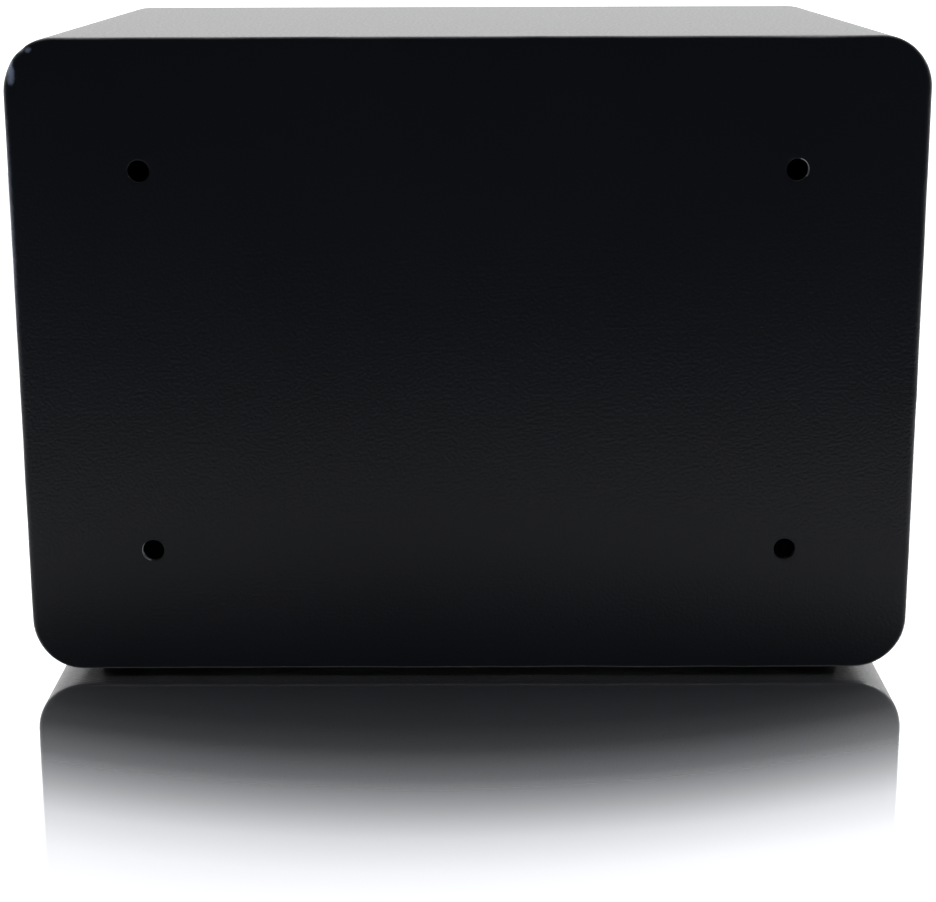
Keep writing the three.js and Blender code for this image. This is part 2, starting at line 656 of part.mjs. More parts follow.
// ---- Leads from the keypad through the door plate to the solenoid and the battery box
function addLeads() {
  const behindBoard = boardFront + boardThickness + fitGap;
  const lane = coverInner - 4;
  const section = new THREE.Shape();
  section.absarc(0, 0, leadRadius, 0, 2 * Math.PI);
  const run = (points, steps) => new THREE.ExtrudeGeometry(section, {
    steps, bevelEnabled: false, curveSegments: 4,
    extrudePath: new THREE.CatmullRomCurve3(points.map((p) => new THREE.Vector3(...p))),
  });
  const hole = [keypadX + leadSpread, cableHoleZ];
  const coilSide = plungerX - coilWidth / 2 - fitGap;
  part(door, "solenoid_lead", run([
    [hole[0], behindBoard, hole[1]], [hole[0], doorBack, hole[1]], [hole[0] + 5, lane - 5, hole[1]],
    [hole[0] + 22, lane, hole[1]], [hole[0] + 50, lane, hole[1] - 6], [hole[0] + 66, lane, hole[1] - 40],
    [hole[0] + 70, lane, hole[1] - 80], [coilSide - 24, plungerY + 4, coilTop - 12],
    [coilSide - 8, plungerY, coilTop - 14], [coilSide, plungerY, coilTop - 14]], 44), darkPlastic);
  const boxTop = batteryHeight / 2 + batteryWall + fitGap;
  part(door, "battery_lead", run([
    [keypadX - leadSpread, behindBoard, hole[1]], [keypadX - leadSpread, doorBack, hole[1]],
    [keypadX - leadSpread - 2, doorBack + 8, hole[1] - 1], [keypadX - leadSpread - 6, batteryFront + 8, boxTop + 5],
    [keypadX - leadSpread - 7, batteryFront + 8, boxTop]], 20), redPlastic);
}

// ---- Battery box behind the cover's hatch, its lid, and the reset button
function addBattery() {
  const w = batteryWidth + 2 * batteryWall;
  const h = batteryHeight + 2 * batteryWall;
  const rear = coverInner - fitGap;
  const tray = carve(
    block([batteryX - w / 2, batteryFront, -h / 2], [batteryX + w / 2, rear, h / 2]),
    block([batteryX - batteryWidth / 2, batteryFront + batteryWall, -batteryHeight / 2],
      [batteryX + batteryWidth / 2, rear + 1, batteryHeight / 2]));
  part(door, "battery_box", tray, darkPlastic);
  const lidSeat = coverOuter + fitGap;
  const lid = slab(roundedRect(batteryWidth + 2 * lidLap, batteryHeight + 2 * lidLap, 3), lidSeat,
    lidSeat + lidThickness);
  part(door, "battery_lid", lid, darkPlastic).position.x = batteryX;

  const x = coverLeft + resetX;
  const tip = coverOuter + resetStand;
  const flangeBack = coverInner - fitGap;
  const button = fuse(rodY(resetRadius, x, resetZ, tip - resetLength, tip),
    rodY(resetRadius + 1.5, x, resetZ, flangeBack - 1.2, flangeBack));
  part(door, "reset_button", button, redPlastic);
  const switchBack = tip - resetLength - 1.5 - fitGap;
  const size = resetSwitchSize / 2;
  part(door, "reset_switch", block([x - size, doorBack + fitGap, resetZ - size],
    [x + size, switchBack, resetZ + size]), darkPlastic);
}

addBox();
addDoorSeats();
addFittings();
addDoor();
addBolts();
addKnob();
addKeyLock();
addSolenoid();
addKeypad();
addLeads();
addBattery();

export default safe;
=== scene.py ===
# A small black wall safe: a welded steel box with four anchor holes in its back, and a door with a
# keypad, a knob, a key lock and two bolts. Sizes in the piece dictionaries are millimetres.
import json
import math
import bmesh
import bpy
import numpy as np
from mathutils import Matrix, Vector


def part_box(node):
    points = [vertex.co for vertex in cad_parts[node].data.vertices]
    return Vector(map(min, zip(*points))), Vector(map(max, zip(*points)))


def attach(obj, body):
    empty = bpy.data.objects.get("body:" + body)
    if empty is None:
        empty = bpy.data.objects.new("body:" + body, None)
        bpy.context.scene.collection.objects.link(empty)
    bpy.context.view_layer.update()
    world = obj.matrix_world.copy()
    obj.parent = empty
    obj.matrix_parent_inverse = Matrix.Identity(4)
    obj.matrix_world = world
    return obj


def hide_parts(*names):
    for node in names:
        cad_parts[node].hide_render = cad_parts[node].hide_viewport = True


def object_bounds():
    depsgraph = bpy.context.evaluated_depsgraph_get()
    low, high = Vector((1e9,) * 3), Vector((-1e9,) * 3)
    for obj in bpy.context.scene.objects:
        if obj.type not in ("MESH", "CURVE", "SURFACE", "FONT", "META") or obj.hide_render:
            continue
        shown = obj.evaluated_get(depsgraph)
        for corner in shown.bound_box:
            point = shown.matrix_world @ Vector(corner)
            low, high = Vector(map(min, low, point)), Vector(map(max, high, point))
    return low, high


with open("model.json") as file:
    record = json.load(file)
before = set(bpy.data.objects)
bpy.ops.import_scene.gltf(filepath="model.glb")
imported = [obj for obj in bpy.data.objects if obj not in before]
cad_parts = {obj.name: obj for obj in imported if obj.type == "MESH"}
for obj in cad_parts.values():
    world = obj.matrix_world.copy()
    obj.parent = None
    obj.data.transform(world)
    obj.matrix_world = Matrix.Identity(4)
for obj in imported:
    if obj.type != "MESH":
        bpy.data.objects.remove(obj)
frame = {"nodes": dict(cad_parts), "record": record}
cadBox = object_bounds()
mm = 0.001


# Lowest corner, highest corner and middle of a node at rest, in millimetres.
def span(node):
    low, high = (np.array(corner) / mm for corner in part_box(node))
    return low, high, (low + high) / 2


# Angles evenly spaced from 0 to 90 degrees, in radians.
def quarter(count):
    return np.radians(np.linspace(0.0, 90.0, count))


# Merges points of a mesh that lie within a distance, drops slivers and turns its faces outwards.
def cleanMesh(mesh, distance, sliver=0.0):
    work = bmesh.new()
    work.from_mesh(mesh)
    bmesh.ops.remove_doubles(work, verts=work.verts, dist=distance)
    if sliver:
        bmesh.ops.dissolve_degenerate(work, edges=work.edges, dist=sliver)
    bmesh.ops.recalc_face_normals(work, faces=work.faces)
    work.to_mesh(mesh)
    work.free()


# A new material with its node tree and its Principled shader.
def startMaterial(name):
    material = bpy.data.materials.new(name)
    material.use_nodes = True
    tree = material.node_tree
    return material, tree, tree.nodes["Principled BSDF"]


# Where a point is in the object's own coordinates, in metres.
def objectPlace(tree):
    return tree.nodes.new("ShaderNodeTexCoord").outputs["Object"]


# Noise over the object's own coordinates, in cells per metre, stretched along axes if asked.
def noise(tree, place, scale, detail=2.0, roughness=0.5, stretch=None):
    if stretch:
        mapping = tree.nodes.new("ShaderNodeMapping")
        mapping.inputs["Scale"].default_value = stretch
        tree.links.new(place, mapping.inputs["Vector"])
        place = mapping.outputs["Vector"]
    node = tree.nodes.new("ShaderNodeTexNoise")
    node.inputs["Scale"].default_value = scale
    node.inputs["Detail"].default_value = detail
    node.inputs["Roughness"].default_value = roughness
    tree.links.new(place, node.inputs["Vector"])
    return node.outputs["Fac"]


# Distance to the nearest scattered cell point, in cells per metre.
def cells(tree, place, scale, feature="SMOOTH_F1"):
    node = tree.nodes.new("ShaderNodeTexVoronoi")
    node.feature = feature
    node.inputs["Scale"].default_value = scale
    tree.links.new(place, node.inputs["Vector"])
    return node.outputs["Distance"]


# Colours at positions from 0 to 1 along a value.
def ramp(tree, value, stops):
    node = tree.nodes.new("ShaderNodeValToRGB")
    band = node.color_ramp.elements
    while len(band) < len(stops):
        band.new(0.5)
    for element, (position, colour) in zip(band, stops):
        element.position = position
        element.color = (*colour, 1.0)
    tree.links.new(value, node.inputs["Fac"])
    return node.outputs["Color"]


# low + (high - low) * (value - start) / (end - start), held between low and high.
def remap(tree, value, low, high, start=0.0, end=1.0):
    node = tree.nodes.new("ShaderNodeMapRange")
    node.inputs["From Min"].default_value = start
    node.inputs["From Max"].default_value = end
    node.inputs["To Min"].default_value = low
    node.inputs["To Max"].default_value = high
    tree.links.new(value, node.inputs["Value"])
    return node.outputs["Result"]


# One arithmetic step on values that may be plain numbers or links.
def maths(tree, operation, first, second=0.0, third=None):
    node = tree.nodes.new("ShaderNodeMath")
    node.operation = operation
    for socket, value in zip(node.inputs, (first, second, third)):
        if isinstance(value, (int, float)):
            socket.default_value = value
        elif value is not None:
            tree.links.new(value, socket)
    return node.outputs[0]


# Stacks heights as (value, depth in mm, strength), each bump feeding the next.
def bumpFrom(tree, shader, layers):
    normal = None
    for value, depth, strength in layers:
        node = tree.nodes.new("ShaderNodeBump")
        node.inputs["Distance"].default_value = depth * mm
        node.inputs["Strength"].default_value = strength
        tree.links.new(value, node.inputs["Height"])
        if normal:
            tree.links.new(normal, node.inputs["Normal"])
        normal = node.outputs["Normal"]
    tree.links.new(normal, shader.inputs["Normal"])


coatLook = {
    "dark": (0.0056, 0.0062, 0.0080), "light": (0.0078, 0.0085, 0.0108), "specular": 0.19,
    "peelScale": 800.0, "peelDepth": 0.14, "grainScale": 1900.0, "grainDepth": 0.02,
    # the last colour is the paler bluish coat of the painted highlights
    "roughness": (0.28, 0.36), "driftScale": 9.0, "paintedHighlight": (0.19, 0.22, 0.29),
}
# Painted highlights on the box's edges: a paler bluish coat where ground weld facets and the edge rounding
# catch the side light. Middle and radii in millimetres from the rear face's centre, strength.
paintedEdgeHighlights = [
    ((171.5, -1.0, 112.0), (2.0, 4.0, 6.0), 1.0), ((164.4, -1.0, 120.4), (1.6, 3.0, 1.4), 0.75),
    ((174.4, -1.5, 58.0), (1.9, 3.0, 62.0), 0.30),
]


# Painted highlight in the coat: strength * (1 - d) broken up by noise, where d is the distance from
# its middle in units of its radii, all in millimetres.
def paintedHighlightSpot(tree, place, middle, radii, strength):
    mapping = tree.nodes.new("ShaderNodeMapping")
    mapping.inputs["Location"].default_value = [-m / r for m, r in zip(middle, radii)]
    mapping.inputs["Scale"].default_value = [1 / (r * mm) for r in radii]
    tree.links.new(place, mapping.inputs["Vector"])
    length = tree.nodes.new("ShaderNodeVectorMath")
    length.operation = "LENGTH"
    tree.links.new(mapping.outputs["Vector"], length.inputs[0])
    ragged = maths(tree, "MULTIPLY_ADD", noise(tree, place, 420.0, 3.0), 0.8, length.outputs["Value"])
    return remap(tree, ragged, strength, 0.0, 0.75, 1.35)


# Near-black powder coat: slow colour drift, painted highlights in a paler bluish coat where spots are given,
# a soft orange-peel bump and a finer grain on it.
def powderCoat(name, look, highlightSpots=()):
    material, tree, shader = startMaterial(name)
    place = objectPlace(tree)
    drift = noise(tree, place, look["driftScale"], 3.0)
    colour = ramp(tree, drift, [(0.3, look["dark"]), (0.75, look["light"])])
    paintedHighlight = None
    for middle, radii, strength in highlightSpots:
        spot = paintedHighlightSpot(tree, place, middle, radii, strength)
        paintedHighlight = spot if paintedHighlight is None else maths(tree, "MAXIMUM", paintedHighlight, spot)
    # paler bluish coat mixed in as painted highlights
    if paintedHighlight is not None:
        blend = tree.nodes.new("ShaderNodeMix")
        blend.data_type = "RGBA"
        blend.inputs["B"].default_value = (*look["paintedHighlight"], 1.0)
        tree.links.new(paintedHighlight, blend.inputs["Factor"])
        tree.links.new(colour, blend.inputs["A"])
        colour = blend.outputs["Result"]
    tree.links.new(colour, shader.inputs["Base Color"])
    peel = noise(tree, place, look["peelScale"], 1.5, 0.4)
    grain = noise(tree, place, look["grainScale"], 2.0, 0.6)
    tree.links.new(remap(tree, peel, *look["roughness"], 0.3, 0.7), shader.inputs["Roughness"])
    shader.inputs["Specular IOR Level"].default_value = look["specular"]
    bumpFrom(tree, shader, [(peel, look["peelDepth"], 1.0), (grain, look["grainDepth"], 1.0)])
    return material


# Moulded plastic with a fine spark-eroded grain and a slight change of tone over its length.
def mouldedPlastic(name, dark, light, roughness=(0.38, 0.5), grain=1600.0, depth=0.03, specular=0.4):
    material, tree, shader = startMaterial(name)
    place = objectPlace(tree)
    tone = noise(tree, place, 35.0, 3.0)
    tree.links.new(ramp(tree, tone, [(0.3, dark), (0.7, light)]), shader.inputs["Base Color"])
    sparks = noise(tree, place, grain, 2.0, 0.6)
    tree.links.new(remap(tree, sparks, *roughness, 0.3, 0.7), shader.inputs["Roughness"])
    shader.inputs["Specular IOR Level"].default_value = specular
    bumpFrom(tree, shader, [(sparks, depth, 0.8)])
    return material


# Plated or machined metal: streaks drawn out along one axis, smudged roughness, faint bump.
def platedMetal(name, dark, light, roughness, streak, depth=0.01, grain=300.0):
    material, tree, shader = startMaterial(name)
    place = objectPlace(tree)
    smudge = noise(tree, place, 45.0, 4.0, 0.6)
    lines = noise(tree, place, grain, 3.0, 0.6, stretch=streak)
    tree.links.new(ramp(tree, smudge, [(0.3, dark), (0.7, light)]), shader.inputs["Base Color"])
    both = maths(tree, "MULTIPLY_ADD", lines, 0.5, maths(tree, "MULTIPLY", smudge, 0.5))
    tree.links.new(remap(tree, both, *roughness, 0.3, 0.7), shader.inputs["Roughness"])
    shader.inputs["Metallic"].default_value = 1.0
    bumpFrom(tree, shader, [(lines, depth, 0.6)])
    return material


# Needle-punched carpet: matted fibres from stretched noise laid two ways, with a soft sheen.
def carpetPile(name, dark, light):
    material, tree, shader = startMaterial(name)
    place = objectPlace(tree)
    across = noise(tree, place, 500.0, 4.0, 0.7, stretch=(1.0, 4.0, 1.0))
    along = noise(tree, place, 500.0, 4.0, 0.7, stretch=(4.0, 1.0, 1.0))
    fibres = maths(tree, "MAXIMUM", across, along)
    tree.links.new(ramp(tree, fibres, [(0.42, dark), (0.68, light)]), shader.inputs["Base Color"])
    shader.inputs["Roughness"].default_value = 0.95
    shader.inputs["Specular IOR Level"].default_value = 0.2
    shader.inputs["Sheen Weight"].default_value = 0.35
    shader.inputs["Sheen Roughness"].default_value = 0.5
    bumpFrom(tree, shader, [(fibres, 0.6, 1.0)])
    return material


# Tinted lens over a lamp: deeper tint in its ribs, a glossy skin and a faint inner glow.
def clearLens(name, dark, light, glow):
    material, tree, shader = startMaterial(name)
    place = objectPlace(tree)
    ribs = cells(tree, place, 1400.0)
    tint = ramp(tree, ribs, [(0.1, light), (0.8, dark)])
    tree.links.new(tint, shader.inputs["Base Color"])
    tree.links.new(tint, shader.inputs["Emission Color"])
    shader.inputs["Emission Strength"].default_value = glow
    tree.links.new(remap(tree, ribs, 0.08, 0.2), shader.inputs["Roughness"])
    shader.inputs["Coat Weight"].default_value = 0.6
    bumpFrom(tree, shader, [(ribs, 0.03, 0.5)])
    return material


# Green circuit board: squared tracks under the mask, from a brick pattern, and pin-hole pads.
def solderMask(name, dark, light):
    material, tree, shader = startMaterial(name)
    place = objectPlace(tree)
    turn = tree.nodes.new("ShaderNodeMapping")
    turn.inputs["Rotation"].default_value = (math.pi / 2, 0.0, 0.0)
    tree.links.new(place, turn.inputs["Vector"])
    brick = tree.nodes.new("ShaderNodeTexBrick")
    brick.inputs["Scale"].default_value = 90.0
    brick.inputs["Mortar Size"].default_value = 0.03
    brick.inputs["Color1"].default_value = (*dark, 1.0)
    brick.inputs["Color2"].default_value = (*dark, 1.0)
    brick.inputs["Mortar"].default_value = (*light, 1.0)
    tree.links.new(turn.outputs["Vector"], brick.inputs["Vector"])
    tree.links.new(brick.outputs["Color"], shader.inputs["Base Color"])
    speck = noise(tree, place, 800.0, 2.0)
    tree.links.new(remap(tree, speck, 0.25, 0.45, 0.3, 0.7), shader.inputs["Roughness"])
    bumpFrom(tree, shader, [(brick.outputs["Fac"], 0.03, 0.6), (speck, 0.01, 0.5)])
    return material


coat = powderCoat("powderCoat", coatLook)
# the box's coat carries the painted edge highlights
boxCoat = powderCoat("boxCoat", coatLook, paintedEdgeHighlights)
rubber = mouldedPlastic("footRubber", (0.006, 0.006, 0.006), (0.014, 0.014, 0.014), (0.75, 0.9),
                        900.0, 0.06, 0.2)
blackPlastic = mouldedPlastic("blackPlastic", (0.010, 0.010, 0.011), (0.017, 0.017, 0.018))
keyPlastic = mouldedPlastic("keyPlastic", (0.022, 0.023, 0.025), (0.034, 0.035, 0.037), (0.42, 0.55))
nylon = mouldedPlastic("nylonBush", (0.60, 0.58, 0.52), (0.72, 0.70, 0.64), (0.4, 0.5))
redPlastic = mouldedPlastic("redPlastic", (0.38, 0.012, 0.010), (0.50, 0.022, 0.016), (0.22, 0.32),
                            700.0, 0.01)
printInk = mouldedPlastic("printInk", (0.62, 0.63, 0.64), (0.80, 0.81, 0.82), (0.5, 0.65),
                          2500.0, 0.01)
zinc = platedMetal("zincPlate", (0.42, 0.41, 0.36), (0.60, 0.58, 0.52), (0.28, 0.48),
                   (1.0, 1.0, 0.25))
chrome = platedMetal("chromePlate", (0.30, 0.305, 0.315), (0.40, 0.405, 0.415), (0.16, 0.30),
                     (1.0, 0.2, 1.0), 0.008)
bareSteel = platedMetal("bareSteel", (0.30, 0.30, 0.31), (0.44, 0.44, 0.45), (0.3, 0.5), (0.2, 1.0, 1.0))
brass = platedMetal("machinedBrass", (0.52, 0.36, 0.12), (0.66, 0.48, 0.18), (0.2, 0.36), (1.0, 0.2, 1.0))
carpet = carpetPile("carpetPile", (0.010, 0.010, 0.011), (0.055, 0.056, 0.062))
boardGreen = solderMask("solderMask", (0.010, 0.085, 0.030), (0.030, 0.160, 0.060))
lenses = {
    "lamp_red": clearLens("redLens", (0.22, 0.006, 0.004), (0.52, 0.02, 0.015), 0.05),
    "lamp_yellow": clearLens("yellowLens", (0.40, 0.22, 0.01), (0.75, 0.48, 0.03), 0.05),
    "lamp_green": clearLens("greenLens", (0.01, 0.20, 0.03), (0.04, 0.48, 0.09), 0.05),
}
print("materials", len(bpy.data.materials))


# Quads between neighbouring points of a (rows, columns, 3) grid, joined round if closed.
def quadGrid(points, closed=False, keep=None):
    rows, columns = points.shape[:2]
    index = np.arange(rows * columns).reshape(rows, columns)
    if closed:
        index = np.concatenate([index, index[:, :1]], axis=1)
    quads = np.stack([index[:-1, :-1], index[1:, :-1], index[1:, 1:], index[:-1, 1:]], axis=-1)
    quads = quads[keep] if keep is not None else quads.reshape(-1, 4)
    return points.reshape(-1, 3), quads


# One mesh from several patches in millimetres: seams merged, faces turned outwards, shaded
# smooth except over edges sharper than the given angle.
def solid(name, patches, material, body, nodes=(), slotName=None, sharp=35.0, warp=None):
    counts = np.cumsum([0] + [len(points) for points, _ in patches])
    points = np.concatenate([points for points, _ in patches])
    quads = np.concatenate([faces + start for (_, faces), start in zip(patches, counts)])
    if warp is not None:
        points = warp(points)
    mesh = bpy.data.meshes.new(name)
    mesh.from_pydata((points * mm).tolist(), [], quads.tolist())
    cleanMesh(mesh, 2e-6, 1e-7)
    return place(name, mesh, material, body, nodes, slotName, sharp)


# Puts a finished mesh in the scene: its finish, the body it rides and the nodes it replaces.
def place(name, mesh, material, body, nodes=(), slotName=None, sharp=35.0):
    mesh.polygons.foreach_set("use_smooth", np.ones(len(mesh.polygons), dtype=bool))
    mesh.set_sharp_from_angle(angle=math.radians(sharp))
    mesh.materials.append(material)
    piece = bpy.data.objects.new(name, mesh)
    bpy.context.scene.collection.objects.link(piece)
    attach(piece, body)
    if nodes:
        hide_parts(*nodes)
    return piece


# Samples round a rounded rectangle: for each point the share of the straight sides it stands
# at in x and z, from -1 to 1, and the angle of the outline's normal.
def outlineRing(alongX, alongZ, arcSteps):
    arc = np.linspace(0.0, math.pi / 2, arcSteps + 1)
    one = np.ones_like
    runs = [(one(alongZ), alongZ, 0 * alongZ)]
    for turn, (x, z) in enumerate(((1, 1), (-1, 1), (-1, -1), (1, -1))):
        bend = arc[1:] if turn < 3 else arc[1:-1]
        runs.append((x * one(bend), z * one(bend), turn * math.pi / 2 + bend))
        if turn == 0:
            runs.append((alongX[::-1][1:], one(alongX[1:]), one(alongX[1:]) * math.pi / 2))
        elif turn == 1:
            runs.append((-one(alongZ[1:]), alongZ[::-1][1:], one(alongZ[1:]) * math.pi))
        elif turn == 2:
            runs.append((alongX[1:], -one(alongX[1:]), one(alongX[1:]) * 1.5 * math.pi))
    return np.stack([np.concatenate(column) for column in zip(*runs)], axis=1)


# The outline at one depth: straight half-lengths plus a radius along each normal.
def ringAt(ring, halfX, halfZ, radius, y, middle=(0.0, 0.0)):
    x = ring[:, 0] * halfX + radius * np.cos(ring[:, 2]) + middle[0]
    z = ring[:, 1] * halfZ + radius * np.sin(ring[:, 2]) + middle[1]
    return np.stack([x, np.full_like(x, y), z], axis=1)


# An arc of (radius, depth) pairs about a centre, angles in degrees from outward.
def bendPoints(radius, y, cornerRadius, start, end, steps):
    angle = np.radians(np.linspace(start, end, steps + 1))
    return np.stack([radius + cornerRadius * np.cos(angle), y + cornerRadius * np.sin(angle)], axis=1)


# Sorted lines from -limit to limit through every mark, no further apart than the step.
def gridLines(limit, marks, step):
    stops = np.unique(np.round(np.concatenate([[-limit, limit], marks]), 4))
    lines = [np.linspace(a, b, max(1, math.ceil((b - a) / step - 1e-6)) + 1)[:-1]
             for a, b in zip(stops[:-1], stops[1:])]
    return np.concatenate(lines + [[limit]])


# Evenly spaced lines across each place, out to a reach on both sides of it.
def spread(places, reach, count):
    return np.concatenate([np.linspace(at - reach, at + reach, count) for at in places])


# Once round a block of grid lines from its lower left corner, anticlockwise.
def rectangleLoop(xs, zs):
    bottom = np.stack([xs[:-1], np.full(len(xs) - 1, zs[0])], axis=1)
    right = np.stack([np.full(len(zs) - 1, xs[-1]), zs[:-1]], axis=1)
    top = np.stack([xs[:0:-1], np.full(len(xs) - 1, zs[-1])], axis=1)
    left = np.stack([np.full(len(zs) - 1, xs[0]), zs[:0:-1]], axis=1)
    return np.concatenate([bottom, right, top, left])


# Once round a rounded rectangle from the middle of its lower left corner, with as many points
# a side as the block round it; a circle takes equal angles.
def roundedLoop(centre, halfX, halfZ, radius, nx, nz):
    if radius >= min(halfX, halfZ) - 1e-6:
        angle = math.radians(225.0) + np.arange(2 * (nx + nz)) * math.pi / (nx + nz)
        return np.stack([centre[0] + radius * np.cos(angle), centre[1] + radius * np.sin(angle)], axis=1)
    sides = []
    for turn, (half, other, count) in enumerate(((halfX, halfZ, nx), (halfZ, halfX, nz)) * 2):
        bend = max(1, min(4, (count - 1) // 2))
        angle = np.radians(np.linspace(225.0, 270.0, bend + 1))
        arc = np.stack([radius - half + radius * np.cos(angle),
                        radius - other + radius * np.sin(angle)], axis=1)
        line = np.linspace(arc[-1], arc[-1] * [-1, 1], count - 2 * bend + 1)
        side = np.concatenate([arc[:-1], line, (arc * [-1, 1])[::-1][1:]])[:-1]
        c, s = round(math.cos(turn * math.pi / 2)), round(math.sin(turn * math.pi / 2))
        sides.append(side @ np.array([[c, s], [-s, c]]))
    return np.concatenate(sides) + np.array(centre)


# A loop of (x, z) points set at one depth.
def withDepth(loop, y):
    return np.stack([loop[:, 0], np.full(len(loop), y), loop[:, 1]], axis=1)


# The flat middle of a plate: a grid with a block left out round each hole, and rings that
# blend from the block's edge to the hole's edge.
def plateField(halfX, halfZ, xs, zs, y, holes, middle=(0.0, 0.0)):
    field = np.stack(np.meshgrid(xs, [0.0], zs, indexing="ij"), axis=-1)[:, 0]
    field[..., 1] = y
    cellX = (xs[:-1] + xs[1:]) / 2
    cellZ = (zs[:-1] + zs[1:]) / 2
    keep = np.ones((len(cellX), len(cellZ)), dtype=bool)
    patches = []
    for hole in holes:
        (cx, cz), (bx, bz) = hole["centre"], hole["block"]
        inX = xs[(xs > cx - bx - 1e-3) & (xs < cx + bx + 1e-3)]
        inZ = zs[(zs > cz - bz - 1e-3) & (zs < cz + bz + 1e-3)]
        keep &= ~((abs(cellX - cx) < bx)[:, None] & (abs(cellZ - cz) < bz)[None, :])
        lip = hole.get("lip", 0.4)
        edge = rectangleLoop(inX, inZ)
        rim = roundedLoop((cx, cz), hole["half"][0] + lip, hole["half"][1] + lip, hole["radius"] + lip,
                          len(inX) - 1, len(inZ) - 1)
        share = np.linspace(0.0, 1.0, 4)[:, None, None]
        rings = withDepth(edge, y) * (1 - share) + withDepth(rim, y) * share
        patches.append(quadGrid(rings, closed=True))
    patches.append(quadGrid(field, keep=keep))
    return [(points + [middle[0], 0.0, middle[1]], faces) for points, faces in patches]


# The wall of a hole between two faces, rolled over at both edges by its lip.
def holeWall(hole, xs, zs, front, back, middle=(0.0, 0.0)):
    (cx, cz), (bx, bz) = hole["centre"], hole["block"]
    nx = int(np.sum((xs > cx - bx - 1e-3) & (xs < cx + bx + 1e-3))) - 1
    nz = int(np.sum((zs > cz - bz - 1e-3) & (zs < cz + bz + 1e-3))) - 1
    lip = hole.get("lip", 0.4)
    way = math.copysign(1.0, back - front)
    turn = quarter(5)
    offsets = np.concatenate([lip - lip * np.sin(turn), lip - lip * np.sin(turn[::-1])])
    depths = np.concatenate([front + way * lip * (1 - np.cos(turn)),
                             back - way * lip * (1 - np.cos(turn[::-1]))])
    (halfX, halfZ), radius = hole["half"], hole["radius"]
    rings = [withDepth(roundedLoop((cx, cz), halfX + off, halfZ + off, radius + off, nx, nz), y)
             for off, y in zip(offsets, depths)]
    points, faces = quadGrid(np.stack(rings), closed=True)
    return points + [middle[0], 0.0, middle[1]], faces


# A closed plate or tray: a profile of (radius, depth) pairs carried round the outline, from
# the front middle over the edge to the back middle, and both middles filled in with their holes.
def plate(halfX, halfZ, profile, xs, zs, arcSteps, holes=(), middle=(0.0, 0.0)):
    ring = outlineRing(xs / halfX, zs / halfZ, arcSteps)
    rings = np.stack([ringAt(ring, halfX, halfZ, r, y, middle) for r, y in profile])
    patches = [quadGrid(rings, closed=True)]
    front, back = profile[0][1], profile[-1][1]
    patches += plateField(halfX, halfZ, xs, zs, front, holes, middle)
    patches += plateField(halfX, halfZ, xs, zs, back, holes, middle)
    patches += [holeWall(hole, xs, zs, front, back, middle) for hole in holes]
    return patches


# A profile of (radius, distance) pairs turned about an axis through a centre; ends on the
# axis close to a point.
def turnedPatch(profile, centre, axis="y", sides=64):
    profile = np.array(profile, dtype=float)
    angle = np.arange(sides) * 2 * math.pi / sides
    radial = profile[:, :1] * np.ones((1, sides))
    along = profile[:, 1:] * np.ones((1, sides))
    first, second = radial * np.cos(angle), radial * np.sin(angle)
    order = {"x": (along, first, second), "y": (first, along, second), "z": (first, second, along)}[axis]
    return quadGrid(np.stack(order, axis=-1) + np.array(centre, dtype=float), closed=True)


# A piece turned about an axis through its node's middle, standing for that node.
def turnedPiece(name, profile, node, axis, sides, material, body, slotName):
    centre = span(node)[2]
    centre["xyz".index(axis)] = 0.0
    solid(name, [turnedPatch(profile, centre, axis, sides)], material, body, [node], slotName)


# A closed section of points carried straight along an axis, with both ends capped from its
# middle. The section gives the other two coordinates in order.
def sweptPatch(section, start, end, axis=0, divisions=1):
    others = [i for i in range(3) if i != axis]
    steps = np.linspace(start, end, divisions + 1)
    rings = np.zeros((divisions + 3, len(section), 3))
    section = np.array(section, dtype=float)
    for row, (at, size) in enumerate([(start, 0.0)] + [(s, 1.0) for s in steps] + [(end, 0.0)]):
        rings[row][:, others] = section * size + section.mean(axis=0) * (1 - size)
        rings[row][:, axis] = at
    return quadGrid(rings, closed=True)


# Rounds every edge sharper than an angle, by a width in millimetres.
def roundEdges(piece, width, segments=2, angle=50.0):
    bevel = piece.modifiers.new("roundedEdges", "BEVEL")
    bevel.width = width * mm
    bevel.segments = segments
    bevel.limit_method = "ANGLE"
    bevel.angle_limit = math.radians(angle)
    bevel.harden_normals = True


# A CAD node's mesh merged, its flat faces joined, and its edges rounded over.
def softCopy(node, name, material, body, slotName, width):
    mesh = bpy.data.meshes.new(name)
    work = bmesh.new()
    work.from_mesh(frame["nodes"][node].data)
    bmesh.ops.remove_doubles(work, verts=work.verts, dist=2e-6)
    bmesh.ops.dissolve_limit(work, angle_limit=math.radians(2.0), verts=work.verts, edges=work.edges)
    work.to_mesh(mesh)
    work.free()
    piece = place(name, mesh, material, body, [node], slotName)
    roundEdges(piece, width, 3, 40.0)


cameraLook = {"lens": 81.61, "pitch": 14.309, "yaw": -0.171, "roll": -0.174, "place": (-2.2, 805.29, 170.71)}


# Looks along -Y at the back, pitched down; yaw turns it towards +X, roll tips its head.
def addCamera(look):
    pitch, yaw, roll = (math.radians(look[k]) for k in ("pitch", "yaw", "roll"))
    ahead = Vector((-math.sin(yaw) * math.cos(pitch), -math.cos(yaw) * math.cos(pitch), -math.sin(pitch)))
    side = ahead.cross(Vector((0.0, 0.0, 1.0))).normalized()
    head = side.cross(ahead)
    right = side * math.cos(roll) + head * math.sin(roll)
    up = head * math.cos(roll) - side * math.sin(roll)
    camera = bpy.data.objects.new("camera", bpy.data.cameras.new("camera"))
    camera.data.lens = look["lens"]
    camera.data.clip_start = 0.02
    turn = Matrix((right, up, -ahead)).transposed().to_4x4()
    camera.matrix_world = Matrix.Translation(Vector(look["place"]) * mm) @ turn
    bpy.context.scene.collection.objects.link(camera)
    bpy.context.scene.camera = camera


